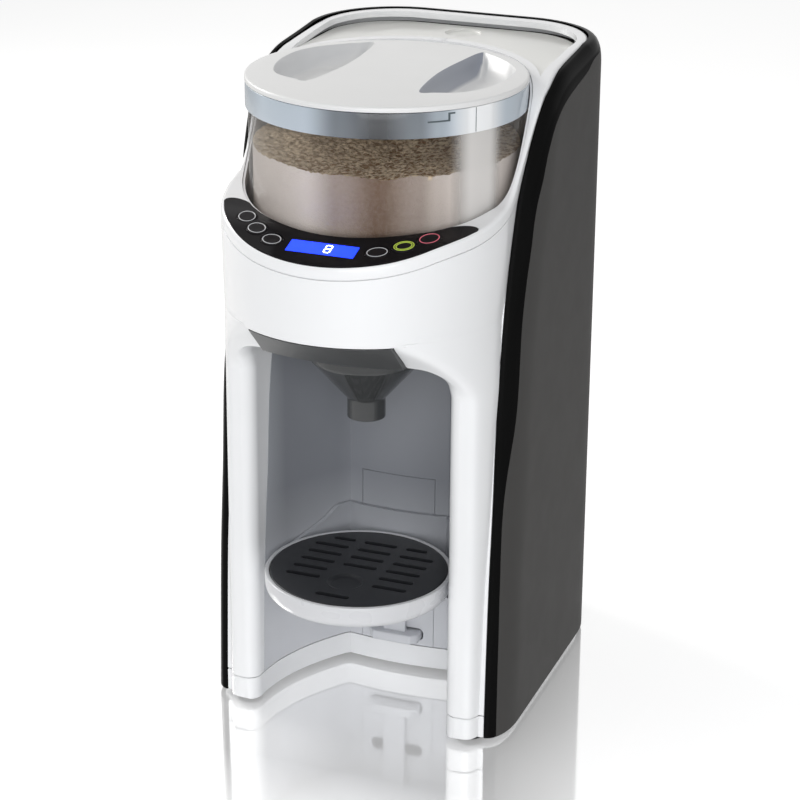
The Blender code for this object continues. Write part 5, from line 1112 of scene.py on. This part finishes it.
def build_lid(shape, look):
    profile = [(0, LID_LOW), (LID_RADIUS, LID_LOW), (LID_RADIUS, LID_TOP), (0, LID_TOP)]
    profile = rounded(profile, {1: 0.0006, 2: 0.0016})
    bowl = [(LID_FLOOR + rise, share, LID_WALL) for rise, share in (
        (-LID_WALL, 0.60), (-0.001, 0.70), (0.0025, 0.84))]
    hollow = [(LID_FLOOR + rise, share, 0) for rise, share in (
        (0, 0.58), (0.0004, 0.66), (0.0014, 0.74), (0.0035, 0.84), (0.006, 0.92), (0.0095, 0.985))]
    hollow += [(LID_TOP + rise, 1, grow) for rise, grow in (
        (-0.0008, 0), (-0.0002, 0.0004), (0.0001, 0.0009), (0.001, 0.0012))]
    steps = [("UNION", scoop(side, bowl + [(LID_LOW + OVERRUN, 1, LID_WALL)])) for side in (1, -1)]
    steps += less(*[scoop(side, hollow) for side in (1, -1)])
    lid = spun(profile, (0, CONTAINER_Y), 160)
    skin("container_lid", lid, "lid_white", "container_lid", steps, 28)


RING_MARKS = (("slot", 37.5, 46.0, 0.3740, 0.0009), ("slot_end", 46.0, 46.9, 0.3740, 0.0048),
              ("slot_turn", 46.9, 49.0, 0.3779, 0.0009), ("seam", 58.6, 58.9, 0.3660, 0.0135))


def ring_bar(start, end, low, high):
    """A thin bar on the lid ring between two angles from its front."""
    radius = LID_RADIUS - GAP - 0.0001
    turns = [math.radians(turn) for turn in spaced(start, end, 7)]
    outer, inner = ([(reach * math.sin(a), CONTAINER_Y - reach * math.cos(a)) for a in turns]
                    for reach in (radius + 0.0002, radius))
    return prism(outer + inner[::-1], low, high)


JAR_RADIUS = 0.0781
JAR_WALL = 0.0022
JAR_FLOOR = 0.301
JAR_TOP = 0.378
RING_INNER = 0.0744
RING_LOW = 0.3655
AXLE_HOLE = 0.0033
OUTLET = 0.0115
OUTLET_ENDS = (0.27, 0.33)
CRADLE_FLOOR = 0.296
CRADLE_WALL = 0.0012
LEG_LOW = 0.2408
LEG_RADIUS = 0.003
LEG_SIDES = (0.0465, -0.0465)
LEG_DEPTHS = (-0.078, -0.044)


def outlet_hole():
    return rod(OUTLET, *OUTLET_ENDS, (0, FUNNEL_Y), 48)


def build_container(shape, look):
    axis, outer, inner = (0, CONTAINER_Y), JAR_RADIUS, JAR_RADIUS - JAR_WALL
    low, floor, top = JAR_FLOOR, JAR_FLOOR + JAR_WALL, JAR_TOP
    profile = [(AXLE_HOLE, low), (outer, low), (outer, top), (inner, top), (inner, floor), (AXLE_HOLE, floor)]
    profile = rounded(profile, {1: 0.004, 2: 0.0007, 3: 0.0007, 4: 0.003})
    skin("powder_container", spun(profile, axis, 160), "container_clear", "powder_container",
         less(outlet_hole()))
    inner, outer, low, high = JAR_RADIUS + GAP, LID_RADIUS - GAP, JAR_TOP + GAP, LID_LOW - GAP
    profile = [(RING_INNER, low), (inner, low), (inner, RING_LOW), (outer, RING_LOW), (outer, high),
               (RING_INNER, high)]
    profile = rounded(profile, {2: 0.0004, 3: 0.0005, 4: 0.0005})
    skin("lid_ring", spun(profile, axis, 160), "frosted", "lid_ring")
    for name, start, end, bottom, height in RING_MARKS:
        piece(f"lid_ring_{name}", ring_bar(start, end, bottom, bottom + height), "mark", "lid_ring")
    outer, inner = CRADLE_RADIUS - GAP, CRADLE_RADIUS - GAP - CRADLE_WALL
    low, floor = CRADLE_FLOOR, CRADLE_FLOOR + 0.0025
    profile = [(AXLE_HOLE, low), (outer, low), (outer, TOP), (inner, TOP), (inner, floor), (AXLE_HOLE, floor)]
    steps = less(across(above_top(0.001)), outlet_hole())
    for spot in ((x, y) for y in LEG_DEPTHS for x in LEG_SIDES):
        steps.append(("UNION", rod(LEG_RADIUS, LEG_LOW, low + OVERRUN, spot, 16)))
    skin("container_cradle", spun(profile, axis, 160), "white", "housing", steps)


def build_powder(shape, look):
    """A heap of powder with an uneven top, held clear of the container and the wheel's shaft."""
    reach, low, level = 0.0756, 0.3036, shape.powder_level
    profile = [(0, low), (reach - 0.002, low), (reach, low + 0.002)]
    profile += [(reach, z) for z in spaced(low + 0.006, level - 0.003, 6)]
    profile += [(reach * s, level) for s in spaced(1.0, 0.0, 80)]
    bm = spun(profile, (0, CONTAINER_Y), 320)
    rng = np.random.default_rng(7)
    waves = [(rng.uniform(20, 160), rng.uniform(20, 160), rng.uniform(0, TAU), rng.uniform(0.2, 1.0))
             for _ in range(26)]
    crumbs = [(*(rng.uniform(500, 2600) * np.array((math.cos(t), math.sin(t)))), rng.uniform(0, TAU), 0.35)
              for t in rng.uniform(0, TAU, 30)]
    for vert in (v for v in bm.verts if v.co.z >= level - 0.0005):
        x, y = vert.co.x, vert.co.y - CONTAINER_Y
        lump = sum(size * math.sin(a * x + b * y + phase) for a, b, phase, size in waves + crumbs) / 26
        away = math.hypot(x, y) / reach
        hollow = -0.0055 * math.exp(-((x - 0.006) ** 2 + (y + 0.004) ** 2) / 0.0009)
        vert.co.z += shape.powder_roughness * lump * 3 + 0.004 * (away**2 - 0.5) + hollow + 0.02 * y
    piece("powder", bm, "powder", "powder_container", angle=60)


FUNNEL_RIM = 0.0365
FUNNEL_BOWL = 0.0335
FUNNEL_THICK = 0.0016
FUNNEL_LOW = BAY_TOP + WALL + GAP + 0.0022 + GAP
FUNNEL_HIGH = FUNNEL_LOW + FUNNEL_THICK
FASCIA_THICK = 0.0045
DRAWER_LOW = 0.2408
DRAWER_THICK = 0.0022


def fascia_low(x):
    """The depth of the fascia's bowed lower edge."""
    return FASCIA_LOW_Y - FASCIA_BOW * (1 - (x / FASCIA_HALF) ** 2)


def build_funnel(shape, look):
    axis, bowl, thick = (0, FUNNEL_Y), FUNNEL_BOWL, FUNNEL_THICK
    low, high, top = FUNNEL_LOW, FUNNEL_HIGH, shape.funnel_cone_top
    throat, spout, neck, end = 0.0128, 0.0112, 0.2010, 0.1875
    profile = [(FUNNEL_RIM, high), (FUNNEL_RIM, low), (bowl, low), (bowl, top), (throat, neck),
               (spout, neck - thick), (spout, end), (spout - thick, end), (spout - thick, neck),
               (bowl - thick, top + thick), (bowl - thick, high)]
    profile = rounded(profile, {3: 0.0015, 4: 0.002, 5: 0.0008, 6: 0.0005, 7: 0.0005, 8: 0.002, 9: 0.0015})
    skin("funnel", spun(profile, axis), "smoked", "funnel_drawer")
    low, rim, inlet, drop = high + GAP, bowl - thick - GAP, 0.0135, 0.003
    profile = [(inlet, low), (rim - thick, low), (rim - thick, low - drop), (rim, low - drop), (rim, low),
               (FUNNEL_RIM, low), (FUNNEL_RIM, low + thick), (inlet, low + thick)]
    hole = rod(0.004, low - FAR / 2, low + FAR / 2, (-0.02, -0.039), 32)
    skin("funnel_cover", spun(profile, axis), "smoked", "funnel_drawer", less(hole))
    build_fascia(axis)


DRAWER_HALF = 0.0405
DRAWER_REAR = -0.0145


def build_fascia(axis):
    """The drawer: its sloped and bowed front, and the plate that carries the funnel."""
    rings = []
    for x in spaced(-FASCIA_HALF, FASCIA_HALF, 49):
        lip, foot = head_front(x, LIP_Z), fascia_low(x)
        corners = [(foot, BAY_TOP), (lip, LIP_Z - GAP), (lip + FASCIA_THICK, LIP_Z - GAP),
                   (foot + FASCIA_THICK, BAY_TOP)]
        section = rounded(corners, {0: 0.0008, 1: 0.0006, 2: 0.0006, 3: 0.0008}, 3)
        rings.append([(x, y, z) for y, z in section])
    half = [(x, fascia_low(x) - 0.0015) for x in spaced(0.002, DRAWER_HALF, 12)] + [(DRAWER_HALF, DRAWER_REAR)]
    plate = prism(mirrored(half), DRAWER_LOW, DRAWER_LOW + DRAWER_THICK)
    seat = rod(FUNNEL_BOWL + GAP, DRAWER_LOW - OVERRUN, DRAWER_LOW + DRAWER_THICK + OVERRUN, axis, 128)
    steps = [("UNION", plate)] + less(seat)
    skin("funnel_drawer", sweep(rings), "smoked_face", "funnel_drawer", steps)


TRAY_Y = -0.0661
TRAY_TOP = 0.0954
TRAY_RADIUS = 0.0552
TRAY_LOW = TRAY_TOP - 0.0155
TRAY_LEDGE = TRAY_TOP - 0.0031
GRATE = 0.0523
DIP = GRATE * 0.214
GRATE_ROWS = (-0.379, -0.168, 0.042, 0.252, 0.463, 0.673)
MIDDLE_ROWS = (-0.771, 0.042, 0.252, 0.463, 0.673)


def build_tray(shape, look):
    axis, radius, top, low, ledge = (0, TRAY_Y), TRAY_RADIUS, TRAY_TOP, TRAY_LOW, TRAY_LEDGE
    inner, floor = radius - 0.0026, low + 0.0026
    profile = [(0, low), (radius * 0.80, low), (radius * 0.92, low + 0.00155), (radius * 0.98, low + 0.0045),
               (radius, low + 0.0085), (radius, top), (inner, top), (inner, ledge), (inner - 0.0024, ledge),
               (inner - 0.0024, low + 0.0052), (inner - 0.0048, floor), (0, floor)]
    profile = rounded(profile, {1: 0.003, 2: 0.003, 3: 0.002, 4: 0.002, 5: 0.0010, 6: 0.0006, 10: 0.001})
    # The tray's finish carries painted shade: its white is darkened.
    skin("drip_tray", spun(profile, axis), "tray_shaded_white", "drip_tray")
    dip = [(0, top - 0.0014), (DIP * 0.76, top - 0.0014), (DIP, top + GAP), (0, top + GAP)]
    cuts = [spun(rounded(dip, {1: 0.001}), (0, TRAY_Y - 0.390 * GRATE), 64)]
    for start, end, y in grate_slots():
        slot = cube((start, y - 0.002, low), (end, y + 0.002, top + OVERRUN))
        cuts.append(round_corners(slot, 2, 0.0019, 6))
    profile = rounded([(0, ledge + GAP), (GRATE, ledge + GAP), (GRATE, top), (0, top)], {2: 0.0006})
    skin("drip_grate", spun(profile, axis), "grate", "drip_grate", less(*cuts))
    build_bracket()


def grate_slots():
    """The start, end and depth of each slot, along X: a column at each side, and one down the middle."""
    made = []
    for share in GRATE_ROWS:
        y, reach = TRAY_Y + GRATE * share, min(0.719, math.sqrt(0.88**2 - share**2))
        made += [(GRATE * 0.310, GRATE * reach, y), (-GRATE * reach, -GRATE * 0.310, y)]
    half = GRATE * 0.201
    return made + [(-half, half, TRAY_Y + GRATE * share) for share in MIDDLE_ROWS]


BRACKET_THICK = 0.0022
BRACKET_DEPTH = 0.053
BRACKET_RISE = 0.013
BRACKET_SHARES = ((-0.1, -0.40), (0, -0.36), (0.434, 0.03), (0.68, 0.42), (0.87, 0.93), (1.3, 1.0))
TONGUE_RISE = 0.003
TONGUE_PAST = 0.003


def build_bracket():
    """The shelf under the tray, the curved upstand behind it, and the tongues in two wall slots."""
    low, top = TRAY_LOW - GAP - BRACKET_THICK, TRAY_TOP + BRACKET_RISE
    front, over, half, rise = BAY_BACK - BRACKET_DEPTH, top + OVERRUN, TONGUE_HALF, TONGUE_RISE
    rim = Curve([front + BRACKET_DEPTH * at for at, _ in BRACKET_SHARES],
                [TRAY_TOP + BRACKET_RISE * lift for _, lift in BRACKET_SHARES])
    edge = [(y, rim(y)) for y in spaced(front - 0.0053, front + 0.0689, 60)]
    start, rear = BAY_BACK - BAY_BULGE - 0.0019, BAY_BACK + WALL + TONGUE_PAST
    nose = start - 0.008
    upper, _, foot = TONGUE_HEIGHTS
    tongue = block(half, (start, rear), (upper - rise, upper + rise))
    outline = [(half - 0.004, nose), (half, nose + 0.004), (half, rear)]
    guide = prism(mirrored(outline), foot - rise, foot + rise)
    stem = block(0.007, (start - 0.003, start), (foot, low + BRACKET_THICK / 2))
    cuts = less(prism(mirrored(bay_line(COVE_START, -0.003)), low + BRACKET_THICK, over),
                block(0.1, (FRONT - 0.06, front), (low - OVERRUN, over)),
                across(edge + [(edge[-1][0], over), (edge[0][0], over)]))
    steps = cuts + [("UNION", soften(tongue, 0.001)), ("UNION", soften(guide, 0.001)), ("UNION", stem)]
    body = prism(mirrored(bay_line(COVE_START, -0.0008)), low, top)
    skin("tray_bracket", body, "bay_white", "drip_tray", steps)


def build_tank(shape, look):
    low = TANK_LID_LOW
    levels = [(low + rise, inset - 0.00095) for rise, inset in (
        (0, 0.0003), (0.0003, 0), (0.0021, 0), (0.0025, 0.0002), (0.0027, 0.0006))]
    lid = sweep([at_height(mirrored(tank_line(inset)), z) for z, inset in levels])
    dip = rounded([(0, low + 0.0013), (0.011, low + 0.0013), (0.011, low + FAR), (0, low + FAR)], {1: 0.001})
    skin("tank_lid", lid, "tank_lid", "tank_lid", less(spun(dip, TANK_DIP)))


def build_feet(shape, look):
    profile = rounded([(0, 0), (0.0075, 0), (0.0075, 0.0035), (0, 0.0035)], {1: 0.001})
    for place, half, y in (("front", 0.0715, -0.066), ("rear", 0.060, 0.095)):
        for side, x in (("right", half), ("left", -half)):
            foot = f"foot_{place}_{side}"
            piece(foot + "_pad", spun(profile, (x, y), 48), "rubber", "housing", foot)


INNER = {
    "water_tank": "clear", "tank_valve": "rubber", "tank_shelf": "white", "water_pump": "trim",
    "water_heater": "steel", "feed_hose": "silicone", "heater_hose": "silicone", "outlet_hose": "silicone",
    "water_nozzle": "nylon", "power_board": "circuit", "control_board": "circuit", "power_inlet": "trim",
    "stirring_wheel": "nylon", "drive_shaft": "steel", "drive_gear": "nylon", "motor_pinion": "nylon",
    "motor_bracket": "steel", "stirring_motor": "steel", "powder_chute": "nylon",
}


def dress_inner(shape, look):
    for name, finish in INNER.items():
        for slot in frame["nodes"][name].material_slots:
            slot.material = FINISHES[finish]


# Stage

MIRROR_REACH = 0.13
CAMERA_PLACE = (0.50697, -1.30528, 0.71735)
CAMERA_TURNS = (0.3707505, 0.3680339, 0.0067304)
CAMERA_LENS = 112.9


def stage_floor(look):
    """A white floor that mirrors the object near its base and takes its shadow."""
    tree = Tree("floor_white")
    tone = tree.mottled(look.floor, 0.003, 3.0, 2.0)
    lit = tree.math("MULTIPLY", tree.add("ShaderNodeLightPath").outputs["Is Camera Ray"], look.floor_lift)
    glow = tree.add("ShaderNodeEmission", {"Color": tone, "Strength": lit})
    matt = tree.add("ShaderNodeBsdfDiffuse", {"Color": tone})
    matt = tree.add("ShaderNodeAddShader", {0: matt.outputs[0], 1: glow.outputs[0]})
    mirror = tree.add("ShaderNodeBsdfGlossy", {"Color": (1, 1, 1, 1), "Roughness": 0.06})
    (low_x, low_y, _), (high_x, high_y, _) = CAD_BOX
    away = tree.vector("SUBTRACT", tree.coords, ((low_x + high_x) / 2, (low_y + high_y) / 2, 0))
    away = tree.vector("ABSOLUTE", away)
    away = tree.vector("SUBTRACT", away, ((high_x - low_x) / 2, (high_y - low_y) / 2, 0))
    away = tree.vector("LENGTH", tree.vector("MAXIMUM", away), output=1)
    weight = tree.span(away, look.floor_mirror, 0.0, 0.0, MIRROR_REACH)
    bm = bmesh.new()
    bmesh.ops.create_grid(bm, x_segments=1, y_segments=1, size=4.0)
    floor = keep_mesh("floor", bm)
    floor.data.materials.append(tree.end(tree.blend(weight, matt, mirror)))


def area_light(name, spot, target, size, power, colour=(1, 1, 1)):
    light = bpy.data.lights.new(name, "AREA")
    light.shape, light.size, light.energy, light.color = "SQUARE", size, power, colour
    obj = bpy.data.objects.new(name, light)
    obj.location = spot
    obj.rotation_euler = (Vector(target) - Vector(spot)).to_track_quat("-Z", "Y").to_euler()
    bpy.context.scene.collection.objects.link(obj)


def place_camera():
    """The photo's view: where the camera stands, how far it turns and tips, and its lens."""
    turn, lift, roll = CAMERA_TURNS
    back = Vector((math.sin(turn) * math.cos(lift), -math.cos(turn) * math.cos(lift), math.sin(lift)))
    right = Vector((math.cos(turn), math.sin(turn), 0))
    up = back.cross(right)
    level, rise = right * math.cos(roll) + up * math.sin(roll), up * math.cos(roll) - right * math.sin(roll)
    data = bpy.data.cameras.new("camera")
    data.lens, data.sensor_width = CAMERA_LENS, 36
    data.clip_start, data.clip_end = 0.05, 50
    camera = bpy.data.objects.new("camera", data)
    camera.matrix_world = Matrix.Translation(CAMERA_PLACE) @ Matrix((level, rise, back)).transposed().to_4x4()
    bpy.context.scene.collection.objects.link(camera)
    bpy.context.scene.camera = camera


def light_world(look):
    """White behind the object and in its reflections, and a softer light all round it."""
    world = bpy.data.worlds.new("studio")
    bpy.context.scene.world = world
    world.use_nodes = True
    nodes, links = world.node_tree.nodes, world.node_tree.links
    nodes.clear()
    diffuse = nodes.new("ShaderNodeLightPath").outputs["Is Diffuse Ray"]
    strength = nodes.new("ShaderNodeMapRange")
    strength.inputs[3].default_value, strength.inputs[4].default_value = 1.0, look.fill_light
    backdrop = nodes.new("ShaderNodeBackground")
    backdrop.inputs[0].default_value = (1, 1, 1, 1)
    links.new(diffuse, strength.inputs[0])
    links.new(strength.outputs[0], backdrop.inputs[1])
    links.new(backdrop.outputs[0], nodes.new("ShaderNodeOutputWorld").inputs[0])


def build_stage(shape, look):
    stage_floor(look)
    light_world(look)
    area_light("key", (-1.2, 0.35, 0.95), (0, 0, 0.35), 0.6, look.key_light, (1.0, 0.985, 0.96))
    area_light("front", (0.5, -1.5, 0.6), (0, 0, 0.22), 1.1, look.front_light, (0.97, 0.985, 1.0))
    area_light("top", (0.1, 0.0, 1.9), (0, 0, 0.2), 1.6, look.key_light * 0.2)
    place_camera()
    bpy.context.scene.view_settings.view_transform = "Standard"


# Add-on

def colour(label, value, note):
    return FloatVectorProperty(name=label, description=note, default=value, subtype="COLOR", min=0, max=1)


class FormulaMakerLook(bpy.types.PropertyGroup):
    white: colour("White", (0.88, 0.885, 0.895), "Housing, lid, tray and base")
    # Tray colour: the white darkened as painted shade.
    tray: colour("Tray", (0.66, 0.665, 0.685), "Drip tray")
    lid: colour("Lid", (0.79, 0.79, 0.785), "Lid of the powder container")
    lid_shade: colour("Lid shade", (0.26, 0.28, 0.33), "Walls of the lid's hollows, away from the light")
    # The bay colours are painted shade: the same white lining, darkened towards the bay's ceiling and rear
    # wall.
    bay_low: colour("Bay, low", (0.65, 0.66, 0.69), "Lining of the bottle bay near its foot")
    bay_mouth: colour("Bay, mouth", (0.56, 0.58, 0.62), "Lining of the bottle bay near its mouth")
    bay_high: colour("Bay, high", (0.235, 0.245, 0.27), "Lining of the bottle bay near its ceiling")
    grey: colour("Side panels", (0.067, 0.065, 0.063), "Side panels and rear cover")
    trim: colour("Trim", (0.006, 0.006, 0.006), "Glossy trim between the white and the side panels")
    lens: colour("Panel", (0.010, 0.009, 0.010), "Control panel")
    display: colour("Display", (0.01, 0.045, 0.95), "Display window")
    ring_plain: colour("Ring 1 to 4", (0.55, 0.56, 0.58), "Rings of the first four buttons")
    ring_five: colour("Ring 5", (0.55, 0.72, 0.08), "Rings of the fifth button")
    ring_six: colour("Ring 6", (0.80, 0.16, 0.22), "Ring of the sixth button")
    smoked: colour("Smoked plastic", (0.056, 0.058, 0.059), "Funnel and its drawer")
    # Smoked left is painted light: a paler tone on the drawer front's left end.
    smoked_left: colour("Smoked left", (0.13, 0.13, 0.13), "Left end of the drawer's front")
    # The ring's front colour is painted shade, laid in the band where it faces the front.
    frosted: colour("Frosted plastic", (0.045, 0.048, 0.054), "Ring under the lid, at its front")
    frosted_left: colour("Frosted left", (0.56, 0.63, 0.70), "Ring under the lid, at its left")
    # Frosted right is a painted highlight on the ring's right side.
    frosted_right: colour("Frosted right", (0.93, 0.94, 0.95), "Ring under the lid, at its right")
    grate: colour("Grate", (0.020, 0.021, 0.024), "Drip grate")
    deck: colour("Tank lid", (0.78, 0.78, 0.75), "Lid of the water tank")
    powder: colour("Powder", (0.84, 0.76, 0.71), "Powder in the container")
    # Powder front is painted shade: the darker powder in the band facing the front.
    powder_core: colour("Powder front", (0.17, 0.105, 0.068), "Powder where the container faces the front")
    powder_top: colour("Powder top", (0.27, 0.145, 0.062), "Darker grains on top of the powder")
    powder_grain: colour("Powder grains", (0.86, 0.70, 0.50), "Paler grains on top of the powder")
    floor: colour("Floor", (0.94, 0.94, 0.94), "Floor under the object")
    floor_mirror: FloatProperty(name="Floor mirror", default=0.60, min=0, max=1,
                                description="How strongly the floor mirrors the object near its base")
    floor_lift: FloatProperty(name="Floor lift", default=0.5, min=0, max=1,
                              description="How far the floor is whitened")
    key_light: FloatProperty(name="Key light", default=10.0, min=0,
                             description="Power of the lamp behind the left, in watts")
    front_light: FloatProperty(name="Front light", default=12.0, min=0,
                               description="Power of the lamp in front, in watts")
    fill_light: FloatProperty(name="Fill light", default=0.45, min=0,
                              description="Strength of the light from all round")


class FormulaMakerShape(bpy.types.PropertyGroup):
    powder_level: FloatProperty(name="Powder level", default=0.3425, min=0.31, max=0.365, unit="LENGTH",
                                description="Height of the powder's top")
    powder_roughness: FloatProperty(name="Powder lumps", default=0.0022, min=0, max=0.006, unit="LENGTH",
                                    description="Height of the lumps on the powder")
    ring_thickness: FloatProperty(name="Button ring", default=0.0005, min=0.0002, max=0.001, unit="LENGTH",
                                  description="Thickness of the rings on the buttons")
    funnel_cone_top: FloatProperty(name="Funnel cone", default=0.2245, min=0.205, max=0.240, unit="LENGTH",
                                   description="Height at which the funnel starts to narrow")
    display_number: IntProperty(name="Number shown", default=8, min=0, max=99,
                                description="Number on the display")


class PieceOperator:
    bl_options = {"REGISTER", "UNDO"}

    def execute(self, context):
        before = set(bpy.data.objects)
        self.build(context.scene.formula_maker_shape, context.scene.formula_maker_look)
        if set(bpy.data.objects) == before and self.makes:
            raise RuntimeError(f"{self.bl_label} made nothing")
        return {"FINISHED"}


def operator(key, label, note, build, makes=True):
    """An operator class that builds one piece or group of like pieces."""
    body = {"bl_idname": f"formula_maker.{key}", "bl_label": label, "__doc__": note,
            "build": staticmethod(build), "makes": makes}
    return type(f"FORMULA_MAKER_OT_{key}", (PieceOperator, bpy.types.Operator), body)


OPERATORS = (
    operator("finishes", "Finishes", "Make the procedural materials", make_finishes, False),
    operator("housing", "Housing", "Build the white front housing and the bay's lining", build_housing),
    operator("base", "Base", "Build the base frame", build_base),
    operator("shells", "Shells", "Build the side panels, trims and rear cover", build_shells),
    operator("top", "Top cover", "Build the white top cover", build_top),
    operator("panel", "Control panel", "Build the panel, display, buttons and their rings", build_panel),
    operator("container", "Container", "Build the powder container, its ring and cradle", build_container),
    operator("lid", "Container lid", "Build the lid with its two grip hollows", build_lid),
    operator("powder", "Powder", "Fill the container with powder", build_powder),
    operator("funnel", "Funnel", "Build the funnel, its cover and its drawer", build_funnel),
    operator("tray", "Drip tray", "Build the tray, its grate and its bracket", build_tray),
    operator("tank", "Tank lid", "Build the lid of the water tank", build_tank),
    operator("feet", "Feet", "Build the four feet", build_feet),
    operator("inner", "Inner parts", "Dress the parts inside the housing", dress_inner, False),
    operator("stage", "Stage", "Set the floor, light and camera", build_stage),
)


class FORMULA_MAKER_PT_panel(bpy.types.Panel):
    bl_label = "Formula maker"
    bl_space_type = "VIEW_3D"
    bl_region_type = "UI"
    bl_category = "Formula maker"

    def draw(self, context):
        for group in (context.scene.formula_maker_shape, context.scene.formula_maker_look):
            for key in group.bl_rna.properties.keys():
                if key not in {"rna_type", "name"}:
                    self.layout.prop(group, key)
        for item in OPERATORS:
            self.layout.operator(item.bl_idname)


CLASSES = (FormulaMakerLook, FormulaMakerShape, *OPERATORS, FORMULA_MAKER_PT_panel)


def register():
    for item in CLASSES:
        bpy.utils.register_class(item)
    bpy.types.Scene.formula_maker_look = PointerProperty(type=FormulaMakerLook)
    bpy.types.Scene.formula_maker_shape = PointerProperty(type=FormulaMakerShape)


def unregister():
    del bpy.types.Scene.formula_maker_shape
    del bpy.types.Scene.formula_maker_look
    for item in reversed(CLASSES):
        bpy.utils.unregister_class(item)


def main():
    register()
    for item in OPERATORS:
        space, key = item.bl_idname.split(".")
        getattr(getattr(bpy.ops, space), key)()


if __name__ == "__main__":
    main()
